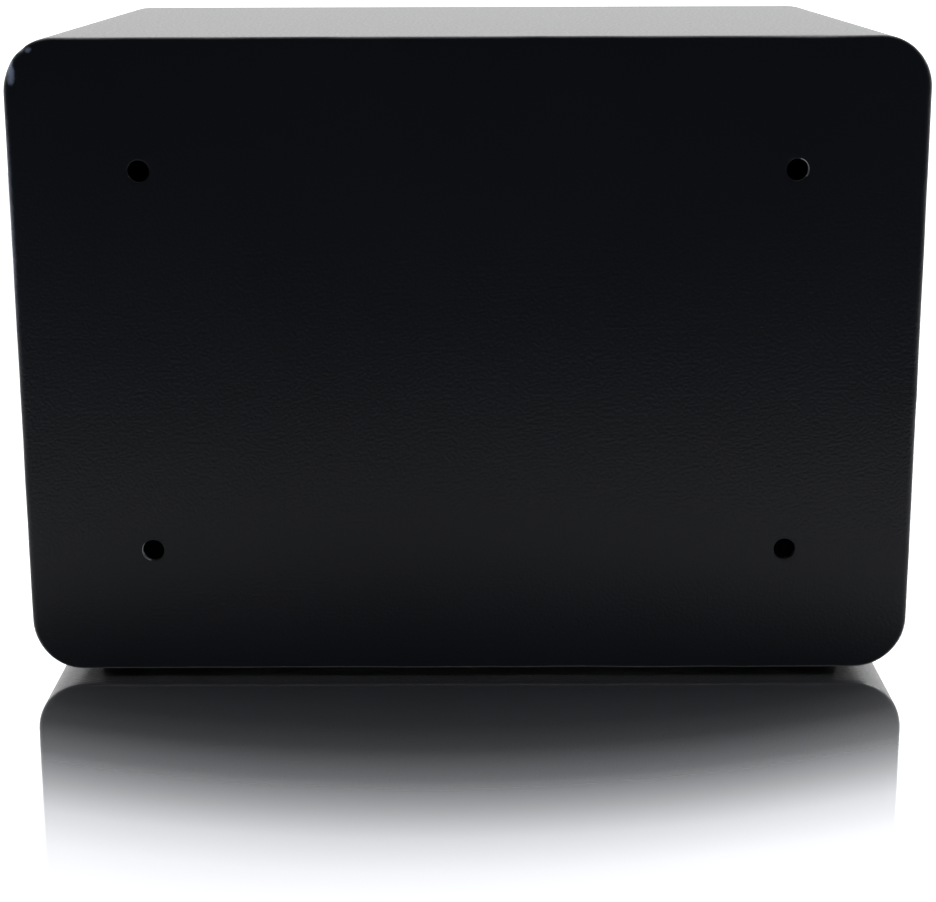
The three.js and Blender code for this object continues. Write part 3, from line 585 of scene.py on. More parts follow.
floorLook = {
    "size": 1.7, "backReach": 0.36, "inset": 0.015, "halfDepth": 0.125, "white": 0.93, "strength": 1.65,
    "surround": [(0.0, (1.0, 1.0, 1.0)), (0.42, (0.95, 0.955, 0.97)), (0.52, (0.33, 0.36, 0.45)),
                 (0.62, (0.11, 0.125, 0.16)), (0.78, (0.045, 0.05, 0.066)), (1.0, (0.03, 0.035, 0.046))],
    "fade": [(0.0, 0.022), (0.05, 0.027), (0.09, 0.034), (0.1275, 0.06), (0.175, 0.18), (0.218, 0.42),
             (0.258, 0.72), (0.30, 0.89), (0.34, 0.97), (0.42, 1.0)],
    "fadeReach": 0.6, "mirrorRoughness": 0.03, "bow": 1.4, "bowMiddle": 0.015,
    "speckScale": 240.0, "speckSize": 0.09, "speckShare": 0.3,
}
lampLook = [
    # name, place, aimed at, width, height, watts
    ("overhead", (0.0, -0.1, 1.9), (0.0, -0.1, 0.0), 2.2, 2.2, 27.0),
    ("frontLeft", (-1.5, -1.6, 0.9), (0.0, -0.2, 0.0), 1.0, 1.2, 16.0),
]


# Surround: white to look at, but as a light it falls from white behind the front of the safe to
# nearly dark behind its back, along the Y part of the direction.
def makeSurround(look):
    world = bpy.data.worlds.new("surround")
    world.use_nodes = True
    tree = world.node_tree
    split = tree.nodes.new("ShaderNodeSeparateXYZ")
    tree.links.new(tree.nodes.new("ShaderNodeTexCoord").outputs["Generated"], split.inputs["Vector"])
    light = ramp(tree, remap(tree, split.outputs["Y"], 0.0, 1.0, -1.0, 1.0), look["surround"])
    seen = tree.nodes.new("ShaderNodeMix")
    seen.data_type = "RGBA"
    seen.inputs["B"].default_value = (1.0, 1.0, 1.0, 1.0)
    tree.links.new(tree.nodes.new("ShaderNodeLightPath").outputs["Is Camera Ray"], seen.inputs["Factor"])
    tree.links.new(light, seen.inputs["A"])
    tree.links.new(seen.outputs["Result"], tree.nodes["Background"].inputs["Color"])
    tree.nodes["Background"].inputs["Strength"].default_value = look["strength"]
    return world


# A pale floor that mirrors what stands on it and turns to plain white with distance from it,
# a white surround, and soft panels.
def addStudio(look, lamps):
    scene = bpy.context.scene
    scene.view_settings.view_transform = "Standard"
    scene.world = makeSurround(look)

    material = bpy.data.materials.new("studioFloor")
    material.use_nodes = True
    tree = material.node_tree
    tree.nodes.clear()
    split = tree.nodes.new("ShaderNodeSeparateXYZ")
    tree.links.new(objectPlace(tree), split.inputs["Vector"])
    low, high = cadBox
    halfX, halfY = (high[0] - low[0]) / 2 - look["inset"], look["halfDepth"]
    middleX = maths(tree, "ABSOLUTE", split.outputs["X"])
    offX = maths(tree, "MAXIMUM", maths(tree, "SUBTRACT", middleX, halfX), 0.0)
    middleY = maths(tree, "ABSOLUTE", maths(tree, "ADD", split.outputs["Y"], halfY))
    offY = maths(tree, "MAXIMUM", maths(tree, "SUBTRACT", middleY, halfY), 0.0)
    squareX, squareY = maths(tree, "MULTIPLY", offX, offX), maths(tree, "MULTIPLY", offY, offY)
    reach = maths(tree, "SQRT", maths(tree, "ADD", squareX, squareY))
    aside = maths(tree, "SUBTRACT", split.outputs["X"], look["bowMiddle"])
    bowed = maths(tree, "MULTIPLY_ADD", maths(tree, "MULTIPLY", aside, aside), look["bow"], reach)
    share = maths(tree, "DIVIDE", bowed, look["fadeReach"])
    white = ramp(tree, share, [(p, (v, v, v)) for p, v in look["fade"]])
    matt = tree.nodes.new("ShaderNodeBsdfDiffuse")
    matt.inputs["Color"].default_value = (look["white"],) * 3 + (1.0,)
    mirror = tree.nodes.new("ShaderNodeBsdfGlossy")
    mirror.inputs["Color"].default_value = (0.97, 0.97, 0.97, 1.0)
    mirror.inputs["Roughness"].default_value = look["mirrorRoughness"]
    mix = tree.nodes.new("ShaderNodeMixShader")
    specks = remap(tree, cells(tree, objectPlace(tree), look["speckScale"], "F1"), look["speckShare"], 0.0,
                   0.0, look["speckSize"])
    tree.links.new(maths(tree, "MAXIMUM", white, specks), mix.inputs["Fac"])
    tree.links.new(mirror.outputs["BSDF"], mix.inputs[1])
    tree.links.new(matt.outputs["BSDF"], mix.inputs[2])
    out = tree.nodes.new("ShaderNodeOutputMaterial")
    tree.links.new(mix.outputs["Shader"], out.inputs["Surface"])

    half, back, z = look["size"], look["backReach"], float(low[2])
    mesh = bpy.data.meshes.new("studioFloor")
    corners = [(-half, -half, z), (half, -half, z), (half, back, z), (-half, back, z)]
    mesh.from_pydata(corners, [], [(0, 1, 2, 3)])
    mesh.materials.append(material)
    floor = bpy.data.objects.new("studioFloor", mesh)
    scene.collection.objects.link(floor)

    for name, where, target, width, height, watts in lamps:
        lamp = bpy.data.objects.new(name, bpy.data.lights.new(name, "AREA"))
        lamp.data.shape = "RECTANGLE"
        lamp.data.size, lamp.data.size_y = width, height
        lamp.data.energy = watts
        lamp.visible_camera = False
        lamp.location = where
        lamp.rotation_euler = (Vector(target) - Vector(where)).to_track_quat("-Z", "Y").to_euler()
        scene.collection.objects.link(lamp)


addCamera(cameraLook)
addStudio(floorLook, lampLook)
print("camera and studio")


boxLook = {
    "half": (175.0, 125.0), "middleY": -125.0, "corner": 20.0, "wall": 2.0, "edge": (1.2, 2.8), "rim": 3.2,
    "anchors": (125.0, 75.0), "holeRadius": 4.2, "holeLip": 0.3, "holeBlock": 9.0,
    # anchor holes whose outer wall shows a painted glint in bare steel, and where on the wall it starts
    "glintHoles": [(-1, 1), (1, -1)], "glintFrom": 0.55,
    "arcSteps": 14, "step": 9.0, "hollow": 0.12, "seam": 0.25,
    "grindDepth": 0.35, "grindReach": 2.6, "grindFrom": 14.0, "grindBlend": 4.0, "grindPull": (0.8, 0.55),
    # deeper dressing marks: angle round the outline, width in radians, depth
    "grindMarks": [(0.733, 0.026, 0.9), (0.788, 0.008, 0.9), (-2.35, 0.05, 0.3), (2.2, 0.06, 0.35),
                   (3.079, 0.010, 1.1)],
}


# Smooth random ripple from -1 to 1 along a length: a few sines of random period and phase.
def wander(place, seed, waves=5):
    draw = np.random.default_rng(seed)
    total = np.zeros_like(place)
    for k in range(1, waves + 1):
        total += np.sin(place * draw.uniform(0.6, 1.4) * k * 0.045 + draw.uniform(0, 6.28)) / k ** 0.6
    return total / 2.2


# Dressing marks: near an edge of the box the surface is drawn in towards the middle by a
# ripple that follows the weld, deepest on the rounding and gone a few millimetres away.
def groundWelds(points, look, yEdge, seed):
    half = np.array(look["half"])
    core = half - look["corner"]
    flat = points[:, [0, 2]]
    inside = np.clip(flat, -core, core)
    normal = flat - inside
    length = np.linalg.norm(normal, axis=1)
    angle = np.arctan2(flat[:, 1] / half[1], flat[:, 0] / half[0])
    walk = angle * 190.0  # about the distance round the box
    near = np.exp(-((points[:, 1] - yEdge) / look["grindReach"]) ** 2)
    near = near * np.clip((length - look["grindFrom"]) / look["grindBlend"], 0.0, 1.0)
    pull = look["grindDepth"] * np.clip(0.5 + 0.5 * wander(walk, seed), 0.0, 1.0) * near
    for centre, width, depth in look["grindMarks"]:
        pull += depth * np.exp(-((angle - centre) / width) ** 2) * near
    direction = np.where(length[:, None] > 1e-6, normal / np.maximum(length[:, None], 1e-6), 0.0)
    moved = points.copy()
    sideways, endways = look["grindPull"]
    moved[:, [0, 2]] -= direction * (pull * sideways)[:, None]
    inward = math.copysign(1.0, look["middleY"] - yEdge)
    moved[:, 1] += inward * pull * endways
    return moved


# Flat panel with four rolled-over anchor holes; the profile runs over its rounded outer edge.
def makeRearPanel(look):
    low, high, _ = span("rear_panel")
    half = (high - low)[[0, 2]] / 2 - look["corner"]
    (anchorX, anchorZ), block = look["anchors"], look["holeBlock"]
    anchors = [(sx * anchorX, sz * anchorZ) for sx in (-1, 1) for sz in (-1, 1)]
    xs = gridLines(half[0], spread((-anchorX, anchorX), block, 13), look["step"])
    zs = gridLines(half[1], spread((-anchorZ, anchorZ), block, 13), look["step"])
    r, (flatEdge, sideEdge) = look["corner"], look["edge"]
    theta = outlineRing(xs / half[0], zs / half[1], look["arcSteps"])[:, 2]
    e = flatEdge + (sideEdge - flatEdge) * np.cos(theta) ** 2
    flat = [(t, high[1]) for t in (0.0, 5.0, 10.0, 14.0)]
    bend = np.radians(np.linspace(90, 0, 9))
    over = [(r - e + e * math.cos(t), high[1] - e + e * math.sin(t)) for t in bend]
    seat, inside = high[1] - look["rim"], r - look["wall"]
    profile = flat + over + [(r, seat), (inside, seat), (inside, low[1]), (10.0, low[1]), (0.0, low[1])]
    holes = [{"centre": centre, "block": (block,) * 2, "half": (look["holeRadius"],) * 2,
              "radius": look["holeRadius"], "lip": look["holeLip"]} for centre in anchors]

    def warp(points):
        shaped = groundWelds(points, look, high[1], 4)
        x, z = shaped[:, 0] / look["half"][0], shaped[:, 2] / look["half"][1]
        sag = look["hollow"] * np.clip(1 - x ** 2, 0, 1) * np.clip(1 - z ** 2, 0, 1)
        sag = sag * (0.7 + 0.3 * wander(shaped[:, 0], 9))
        shaped[:, 1] -= np.where(points[:, 1] > high[1] - 0.6, sag, 0.0)
        return shaped

    patches = plate(half[0], half[1], profile, xs, zs, look["arcSteps"], holes)
    panel = solid("rearPanel", patches, boxCoat, "cabinet", ["rear_panel"], "powder_coat", warp=warp)
    # bare steel on part of two hole walls, a painted glint
    paintedGlintWalls(panel, look)
    return panel


# Painted glints: on some anchor holes, part of the wall takes the bare steel finish so that it shines where
# the glints show. Faces within a hole's radius of its centre, on the side away from the middle of the panel,
# take bare steel.
def paintedGlintWalls(panel, look):
    panel.data.materials.append(bareSteel)
    count = len(panel.data.polygons)
    middle = np.empty(count * 3)
    panel.data.polygons.foreach_get("center", middle)
    middle = middle.reshape(-1, 3) / mm
    glinting = np.zeros(count, dtype=np.int32)
    for sx, sz in look["glintHoles"]:
        x, z = sx * look["anchors"][0], sz * look["anchors"][1]
        dx, dz = middle[:, 0] - x, middle[:, 2] - z
        off = np.hypot(dx, dz)
        outward = (dx * x + dz * z * 0.5) / np.maximum(off, 1e-6) / math.hypot(x, z * 0.5)
        paintedHighlight = (off < look["holeRadius"] + 0.8 * look["holeLip"]) & (outward > look["glintFrom"])
        glinting |= paintedHighlight.astype(np.int32)
    panel.data.polygons.foreach_set("material_index", glinting)


# The rolled wrap: outer and inner skins of a rounded tube between the two plates.
def makeBodyWrap(look):
    low, high, _ = span("body_wrap")
    half = (high - low)[[0, 2]] / 2 - look["corner"]
    xs, zs = gridLines(half[0], [], look["step"]), gridLines(half[1], [], look["step"])
    ring = outlineRing(xs / half[0], zs / half[1], look["arcSteps"])
    rear, front, r = -look["rim"], low[1] - 0.2, look["corner"]
    depths = np.concatenate([np.linspace(rear, rear - 6, 5), np.linspace(rear - 15, front + 3, 26)])
    groove = [(r, front + 0.7), (r - look["seam"], front + 0.3), (r - look["seam"], front)]
    inside = [(r - look["wall"], y) for y in (front, rear)]
    profile = [(r, y) for y in depths] + groove + inside + [(r, rear)]
    rings = np.stack([ringAt(ring, half[0], half[1], radius, y) for radius, y in profile])
    return solid("bodyWrap", [quadGrid(rings, closed=True)], boxCoat, "cabinet", ["body_wrap"],
                 "powder_coat", warp=lambda points: groundWelds(points, look, 0.0, 4))


# Cuts other solids away from a piece, then shades it again by angle.
def cutAway(piece, cutters, sharp=35.0):
    for cutter in cutters:
        cut = piece.modifiers.new("cut", "BOOLEAN")
        cut.operation = "DIFFERENCE"
        cut.solver = "EXACT"
        cut.object = cutter
    mesh = bpy.data.meshes.new_from_object(piece.evaluated_get(bpy.context.evaluated_depsgraph_get()))
    piece.modifiers.clear()
    old, piece.data = piece.data, mesh
    mesh.name = old.name
    bpy.data.meshes.remove(old)
    for cutter in cutters:
        bpy.data.objects.remove(cutter)
    mesh.polygons.foreach_set("use_smooth", np.ones(len(mesh.polygons), dtype=bool))
    mesh.set_sharp_from_angle(angle=math.radians(sharp))


# A plain closed solid used only to cut with: a section carried along an axis.
def cutter(section, start, end, axis):
    points, quads = sweptPatch(section, start, end, axis)
    mesh = bpy.data.meshes.new("cutter")
    mesh.from_pydata((points * mm).tolist(), [], quads.tolist())
    cleanMesh(mesh, 1e-6)
    tool = bpy.data.objects.new("cutter", mesh)
    bpy.context.scene.collection.objects.link(tool)
    return tool


doorFrameLook = {
    "outerRoll": 1.7, "innerRoll": 0.9, "jambEnd": 0.5, "holeEdge": 0.3, "wall": 2.0,
    # straight half lengths in x and z, and corner radius, of the face, the opening and the flange
    "face": (155.0, 105.0, 20.0), "opening": (147.0, 97.0, 3.0), "flange": (151.0, 101.0, 12.0),
    # a hole's place in its own plane, then its half side or radius
    "boltHole": (-235.0, 45.0, 10.0), "pinHole": (-132.5, -242.5, 4.82),
}


# Face and jamb in one closed skin. Each loop is a rounded rectangle given as half straight
# lengths, corner radius and depth; the loops run out over the face, into the opening, round the
# jamb's back edge and home behind the face.
def makeDoorFrame(look, box):
    low, high, _ = span("door_frame")
    front, back, wall = low[1], high[1], look["wall"]
    *outer, big = look["face"]
    *inner, small = look["opening"]
    a, b, c = look["outerRoll"], look["innerRoll"], look["jambEnd"]
    turn, thick = quarter(6), small + wall
    loops = [(*outer, big, front + wall)]
    loops += [(*outer, big - a + a * math.cos(t), front + a - a * math.sin(t)) for t in turn]
    for share in (0.2, 0.5, 0.8):
        loops.append((outer[0] + share * (inner[0] - outer[0]), outer[1] + share * (inner[1] - outer[1]),
                      big - a + share * (small + b - big + a), front))
    loops += [(*inner, small + b - b * math.sin(t), front + b - b * math.cos(t)) for t in turn]
    loops += [(*inner, small, y) for y in np.linspace(front + 4, back - 4, 5)]
    loops += [(*inner, small + c - c * math.cos(t), back - c + c * math.sin(t)) for t in turn[::2]]
    loops += [(*inner, thick - c + c * math.sin(t), back - c + c * math.cos(t)) for t in turn[::2]]
    loops += [(*inner, thick, front + wall), (*look["flange"], front + wall), (*outer, big, front + wall)]
    ring = outlineRing(np.linspace(-1, 1, 36), np.linspace(-1, 1, 26), box["arcSteps"])
    rings = np.stack([ringAt(ring, *loop[:3], loop[3]) for loop in loops])
    piece = solid("doorFrame", [quadGrid(rings, closed=True)], boxCoat, "cabinet", ["door_frame"],
                  "powder_coat")
    depth, height, half = look["boltHole"]
    tools = [cutter(roundedLoop((depth, side * height), half, half, 1.0, 8, 8), 148.5, 153.5, 0)
             for side in (-1, 1)]
    *centre, r = look["pinHole"]
    tools += [cutter(roundedLoop(centre, r, r, r, 8, 8), side * 98.5, side * 103.5, 2) for side in (-1, 1)]
    cutAway(piece, tools)
    roundEdges(piece, look["holeEdge"])


footLook = {"dish": 0.5, "roll": 0.9, "screwRadius": 3.6}


# Rubber foot: a disc turned about the upright axis, rolled below, with a screw recess.
def makeFoot(node, look):
    low, high, _ = span(node)
    r, top, bottom = (high[0] - low[0]) / 2, high[2], low[2]
    roll, s, up = look["roll"], look["screwRadius"], bottom + look["dish"]
    turn = quarter(6)
    profile = [(0, top), (r - 0.4, top), (r, top - 0.4)]
    profile += [(r - roll + roll * math.cos(t), bottom + roll - roll * math.sin(t)) for t in turn]
    profile += [(s + 0.6, bottom), (s, up), (s, bottom + 1.4), (0, bottom + 1.4)]
    turnedPiece(node + "_pad", profile, node, "z", 72, rubber, "cabinet", "rubber")


screwLook = {"dome": 1.0, "slot": 0.55, "arm": 2.2, "depth": 1.3, "head": 2.2, "shank": 1.6}


# Pan-head screw turned about Y: face = top - dome * (r / R)^3, less a cross recess whose depth
# falls off across each arm and along it.
def makeScrew(node, look):
    low, high, middle = span(node)
    head, top, shank = (high[0] - low[0]) / 2, high[1], look["shank"]
    seat = top - look["head"]
    radii = np.concatenate([np.linspace(0, 3.0, 26), np.linspace(3.15, head, 6)])
    angle = np.arange(96) * 2 * math.pi / 96
    x, z = radii[:, None] * np.cos(angle), radii[:, None] * np.sin(angle)
    y = top - look["dome"] * (radii[:, None] / head) ** 3 * np.ones_like(x)

    def arm(across, along):
        width = np.clip((look["slot"] - abs(across)) / 0.2 + 0.5, 0, 1)
        return width * np.clip((look["arm"] - abs(along)) / 0.5, 0, 1)

    y = y - look["depth"] * np.maximum(arm(x, z), arm(z, x))
    cap = quadGrid(np.stack([x + middle[0], y, z + middle[2]], axis=-1), closed=True)
    profile = [(head, top - look["dome"]), (head, seat + 0.3), (head - 0.3, seat), (shank, seat)]
    profile += [(shank, low[1] + 1), (0, low[1])]
    rest = turnedPatch(profile, (middle[0], 0, middle[2]), "y", 96)
    solid(node + "_cross", [cap, rest], zinc, "door", [node], "zinc_steel")


boltLook = {"tip": 1.6, "heel": 112.3, "tenon": 4}


# Round locking bolt turned about X: tenon, shoulder, plain shaft and a rounded nose.
def makeBolt(node, look):
    low, high, _ = span(node)
    r, tip, heel = (high[2] - low[2]) / 2, high[0], look["heel"]
    nose, tenon = look["tip"], look["tenon"]
    turn = quarter(8)
    profile = [(0, low[0]), (tenon - 0.4, low[0]), (tenon, low[0] + 0.4), (tenon, heel)]
    profile += [(r - 0.4, heel), (r, heel + 0.4)] + [(r, x) for x in (116, 124, 132)]
    profile += [(r - nose + nose * math.cos(t), tip - nose + nose * math.sin(t)) for t in turn]
    profile += [(0, tip)]
    turnedPiece(node + "_turned", profile, node, "x", 96, chrome, "bolt_bar", "chrome")


knobLook = {
    "radius": 23.0, "thick": 14.0, "flutes": 30, "fluteDepth": 0.55, "waist": 0.16, "gripRoll": 2.0,
    "pointer": (7.5, 1.3), "pointerEnd": 18.6,
}


# Turning knob: a fluted disc, r = R - depth * (0.5 + 0.5 cos(flutes * angle)) on its rim, and a
# rounded bar across it that narrows at its middle by waist * exp(-(x / 11)^2).
def makeKnob(look):
    low, high, middle = span("knob")
    back, front, tip = high[1], high[1] - look["thick"], low[1] + 0.15
    radius = look["radius"]
    turn = quarter(6)
    profile = [(0, back), (12, back), (radius - 1, back), (radius, back - 1)]
    profile += [(radius, y) for y in np.linspace(back - 2, front + 3.4, 7)]
    profile += [(radius - 2.6 + 2.6 * math.cos(t), front + 2.6 - 2.6 * math.sin(t)) for t in turn]
    profile += [(18.6, front), (18.0, front + 0.5), (16, front + 0.7), (8, front + 0.7), (0, front + 0.7)]
    points, faces = turnedPatch(profile, (0, 0, 0), "y", 360)
    r = np.hypot(points[:, 0], points[:, 2])
    angle = np.arctan2(points[:, 2], points[:, 0])
    zone = np.clip((r - 20.6) / 1.6, 0, 1) * np.clip((back - 0.8 - points[:, 1]) / 1.6, 0, 1)
    cut = look["fluteDepth"] * (0.5 + 0.5 * np.cos(look["flutes"] * angle)) * zone
    points[:, [0, 2]] *= (1 - cut / np.maximum(r, 1))[:, None]
    disc = (points + [middle[0], 0, middle[2]], faces)

    roll = look["gripRoll"]
    profile = [(0, tip), (1, tip)] + bendPoints(4 - roll, tip + roll, roll, -90, 0, 6).tolist()
    profile += [(4, y) for y in np.linspace(tip + roll + 1, front + 0.4, 6)]
    profile += [(4, front + 1.5), (0, front + 1.5)]
    grip = []
    for points, faces in plate(17.0, 2.5, profile, gridLines(17, [], 1.5), gridLines(2.5, [], 1.0), 8):
        points = points.copy()
        points[:, 2] *= 1 - look["waist"] * np.exp(-(points[:, 0] / 11) ** 2)
        grip.append((points + [middle[0], 0, middle[2]], faces))
    solid("knobFluted", [disc] + grip, blackPlastic, "knob", ["knob"], "black_plastic")
    long, wide = look["pointer"]
    centre = (middle[0] + look["pointerEnd"] - long / 2, middle[2])
    bar = roundedLoop(centre, long / 2, wide / 2, wide / 2 - 0.01, 10, 6)
    pointer = sweptPatch(bar, tip - 0.1, tip + 0.6, 1)
    solid("knobPointer", [pointer], printInk, "knob", slotName="black_plastic")


collarLook = {"lip": 3.4, "step": 0.35, "bore": 4.3, "neck": 5.7, "seat": -250.3, "markAt": 25.5}


# Collar round the knob: a ring turned about Y with a rolled outer edge and a stepped face.
def makeCollar(look):
    low, high, middle = span("knob_collar")
    r, front = (high[0] - low[0]) / 2, low[1]
    bore, neck, seat, rim = look["bore"], look["neck"], look["seat"], r - look["lip"]
    floor, at = front + look["step"], look["markAt"]
    turn = quarter(7)
    profile = [(bore, high[1]), (bore, front + 0.7), (4.7, floor), (rim - 0.4, floor), (rim, front)]
    profile += [(r - 1.6 + 1.6 * math.sin(t), front + 1.6 - 1.6 * math.cos(t)) for t in turn]
    profile += [(r, seat - 0.2), (r - 0.2, seat), (neck, seat), (neck, high[1]), (bore, high[1])]
    turnedPiece("knobCollarRing", profile, "knob_collar", "y", 128, chrome, "door", "chrome")
    marks = []
    for angle in (0.0, math.pi / 2):
        bar = roundedLoop((0, 0), 1.1, 0.4, 0.39, 6, 4)
        c, s = math.cos(angle), math.sin(angle)
        bar = bar @ np.array([[c, s], [-s, c]]) + [middle[0] + at * c, middle[2] + at * s]
        marks.append(sweptPatch(bar, front - 0.06, front + 0.5, 1))
    solid("collarMarks", marks, blackPlastic, "door", slotName="chrome")


keypadLook = {
    "edge": 2.8, "groove": (3.0, 0.45), "apertureLip": 0.5, "lampLip": 0.35, "corner": 10.0, "wall": 2.0,
    "topRow": 26.0, "pitch": (26.0, 23.0), "key": (10.3, 8.3), "keyCorner": 4.0, "keyBlock": (12.0, 10.5),
    "lampPitch": 14.0, "lampRow": 52.0, "lampRadius": 2.8, "lampBlock": 4.0,
}


# Keypad housing: one moulded shell with a groove round its face, twelve key apertures and three
# lamp holes; the profile runs from the face over the rolled edge, down the side and back inside.
def makeKeypad(look):
    low, high, middle = span("keypad_housing")
    corner, wall, (stepX, stepZ) = look["corner"], look["wall"], look["pitch"]
    half = (high - low)[[0, 2]] / 2 - corner
    front, seat, inner = low[1], high[1], low[1] + wall
    rows = [look["topRow"] - stepZ * k for k in range(4)]
    columns = [stepX * k for k in (-1, 0, 1)]
    lamps = [look["lampPitch"] * k for k in (-1, 0, 1)]
    key = {"block": look["keyBlock"], "half": look["key"], "radius": look["keyCorner"]}
    holes = [{"centre": (x, z), "lip": look["apertureLip"], **key} for z in rows for x in columns]
    r, (blockX, blockZ), lampBlock = look["lampRadius"], look["keyBlock"], look["lampBlock"]
    lamp = {"block": (lampBlock, lampBlock), "half": (r, r), "radius": r}
    holes += [{"centre": (x, look["lampRow"]), "lip": look["lampLip"], **lamp} for x in lamps]
    marksX = [spread(columns, blockX, 13), spread(lamps, lampBlock, 9)]
    marksZ = [spread(rows, blockZ, 11), spread([look["lampRow"]], lampBlock, 9)]
    xs = gridLines(half[0], np.concatenate(marksX), 3.0)
    zs = gridLines(half[1], np.concatenate(marksZ), 3.0)
    e, (at, deep) = look["edge"], look["groove"]
    profile = [(0, front), (at, front), (at + 0.4, front + deep), (at + 1.1, front + deep), (at + 1.5, front)]
    profile += [(10 - e, front)] + bendPoints(10 - e, front + e, e, -90, 0, 8).tolist()[1:]
    profile += [(10, seat - 4), (10, seat - 0.4), (9.6, seat), (8, seat), (8, inner + 0.5)]
    profile += [(7.5, inner), (0, inner)]
    patches = plate(half[0], half[1], profile, xs, zs, 10, holes, (middle[0], middle[2]))
    solid("keypadShell", patches, blackPlastic, "door", ["keypad_housing"], "black_plastic")


keyLook = {"edge": 1.1, "dish": 0.5, "flange": (3.8, 5.0), "figure": 6.6, "ink": 0.07}


# Key: a rounded block on a flange. Its face is dished by dish * smoothstep((1 - m) / 0.35), where
# m = ((x / 8.7)^4 + (z / 6.7)^4)^(1/4), so the middle stays flat for the printed figure.
def makeKey(label, look):
    low, high, middle = span("key_" + label)
    front, back = low[1], high[1]
    e = look["edge"]
    flangeTop, flangeBack = (front + y for y in look["flange"])
    profile = [(0, front), (1.4, front), (4 - e, front)]
    profile += bendPoints(4 - e, front + e, e, -90, 0, 5).tolist()[1:]
    profile += [(4, flangeTop), (5.5, flangeTop), (5.5, flangeBack), (4, flangeBack), (4, back), (0, back)]
    patches = []
    for points, faces in plate(6.0, 4.0, profile, gridLines(6, [], 0.75), gridLines(4, [], 0.67), 6):
        points = points.copy()
        m = ((points[:, 0] / 8.7) ** 4 + (points[:, 2] / 6.7) ** 4) ** 0.25
        s = np.clip((1 - m) / 0.35, 0, 1)
        points[:, 1] += np.where(points[:, 1] < front + 0.4, look["dish"] * s * s * (3 - 2 * s), 0)
        patches.append((points + [middle[0], 0, middle[2]], faces))
    body = "key_" + label
    solid("keyCap_" + label, patches, keyPlastic, body, ["key_" + label], "key_plastic")

    curve = bpy.data.curves.new("figure_" + label, "FONT")
    curve.body = label
    curve.size = look["figure"] * 1.35 * mm
    curve.extrude = look["ink"] * mm
    curve.align_x, curve.align_y = "CENTER", "CENTER"
    shape = bpy.data.objects.new("figure", curve)
    bpy.context.scene.collection.objects.link(shape)
    mesh = bpy.data.meshes.new_from_object(shape.evaluated_get(bpy.context.evaluated_depsgraph_get()))
    bpy.data.objects.remove(shape)
    flat = np.empty(len(mesh.vertices) * 3)
    mesh.vertices.foreach_get("co", flat)
    flat = flat.reshape(-1, 3)
    flat[:, :2] -= (flat[:, :2].min(axis=0) + flat[:, :2].max(axis=0)) / 2
    face = (front + look["dish"]) * mm
    moved = np.stack([flat[:, 0] + middle[0] * mm, face - flat[:, 2], flat[:, 1] + middle[2] * mm], axis=1)
    mesh.vertices.foreach_set("co", moved.ravel())
    mesh.materials.clear()
    cleanMesh(mesh, 1e-7)
    place("keyFigure_" + label, mesh, printInk, body, slotName="key_plastic")


# Lamp lens: a short rod turned about Y under a shallow dome.
def makeLamp(node, slotName):
    low, high, _ = span(node)
    r, front = (high[0] - low[0]) / 2, low[1]
    profile = [(r * math.sin(t), front + 1.1 - 1.1 * math.cos(t)) for t in quarter(9)]
    profile += [(r, front + 3), (r, high[1]), (0, high[1])]
    turnedPiece(node + "_lens", profile, node, "y", 48, lenses[node], "door", slotName)


rivetLook = {"radius": 2.6, "rise": 0.9, "centre": (60.0, 0, -5.0)}


# Domed rivet head over the key cover's pivot: height = rise * sqrt(1 - (r / R)^2).
def makeRivet(look):
    low, high, _ = span("key_cover")
    turn = quarter(8)
    profile = [(look["radius"] * math.sin(t), low[1] - look["rise"] * math.cos(t)) for t in turn]
    profile += [(look["radius"], low[1] + 0.4), (0, low[1] + 0.4)]
    rivet = turnedPatch(profile, look["centre"], "y", 48)
    solid("keyCoverRivet", [rivet], chrome, "key_cover", slotName="chrome")


lidLook = {"ridges": 6, "pitch": 2.6, "depth": 0.55, "from": -25.0, "reach": 11.0}


# Battery lid: a thin moulded plate whose face dips between ridges,
# y = face - depth * (0.5 - 0.5 cos(2 pi x / pitch)) inside a soft-edged window.
def makeBatteryLid(look):
    low, high, middle = span("battery_lid")
    half = (high - low)[[0, 2]] / 2 - 3.0
    face, back = high[1], low[1]
    profile = [(0, face), (1.5, face)] + bendPoints(2.3, face - 0.7, 0.7, 90, 0, 4).tolist()
    profile += [(3, back + 0.3), (2.7, back), (0, back)]
    start, stop = look["from"], look["from"] + look["ridges"] * look["pitch"]
    xs = gridLines(half[0], np.linspace(start, stop, look["ridges"] * 8 + 1), 3.0)
    zs = gridLines(half[1], np.linspace(-look["reach"], look["reach"], 23), 3.0)
    patches = []
    for points, faces in plate(half[0], half[1], profile, xs, zs, 6):
        points = points.copy()
        x, z = points[:, 0], points[:, 2]
        window = np.clip((look["reach"] - abs(z)) / 1.0, 0, 1) * ((x > start) & (x < stop))
        dip = look["depth"] * (0.5 - 0.5 * np.cos(2 * math.pi * (x - start) / look["pitch"])) * window
        points[:, 1] -= np.where(points[:, 1] > face - 0.1, dip, 0)
        patches.append((points + [middle[0], 0, middle[2]], faces))
    solid("batteryLidRidged", patches, blackPlastic, "battery_lid", ["battery_lid"], "black_plastic")


resetLook = {"radius": 3, "flangeRadius": 4.5, "flange": -219.3, "flangeThick": 1.2}


# Reset button turned about Y: domed tip, plain stem and the flange that holds it in.
def makeResetButton(look):
    low, high, _ = span("reset_button")
    r, wide, top = look["radius"], look["flangeRadius"], look["flange"]
    bottom, tip = top - look["flangeThick"], high[1]
    profile = [(0, tip)] + [(2.2 + 0.8 * math.sin(t), tip - 0.8 + 0.8 * math.cos(t)) for t in quarter(6)]
    profile += [(r, top), (wide, top), (wide, bottom), (r, bottom), (r, low[1]), (0, low[1])]
    turnedPiece("resetButtonCap", profile, "reset_button", "y", 48, redPlastic, "reset_button", "red_plastic")


matLook = {"step": 3.0, "pile": 0.32, "edge": 0.5, "flat": (0.304, 0.200)}


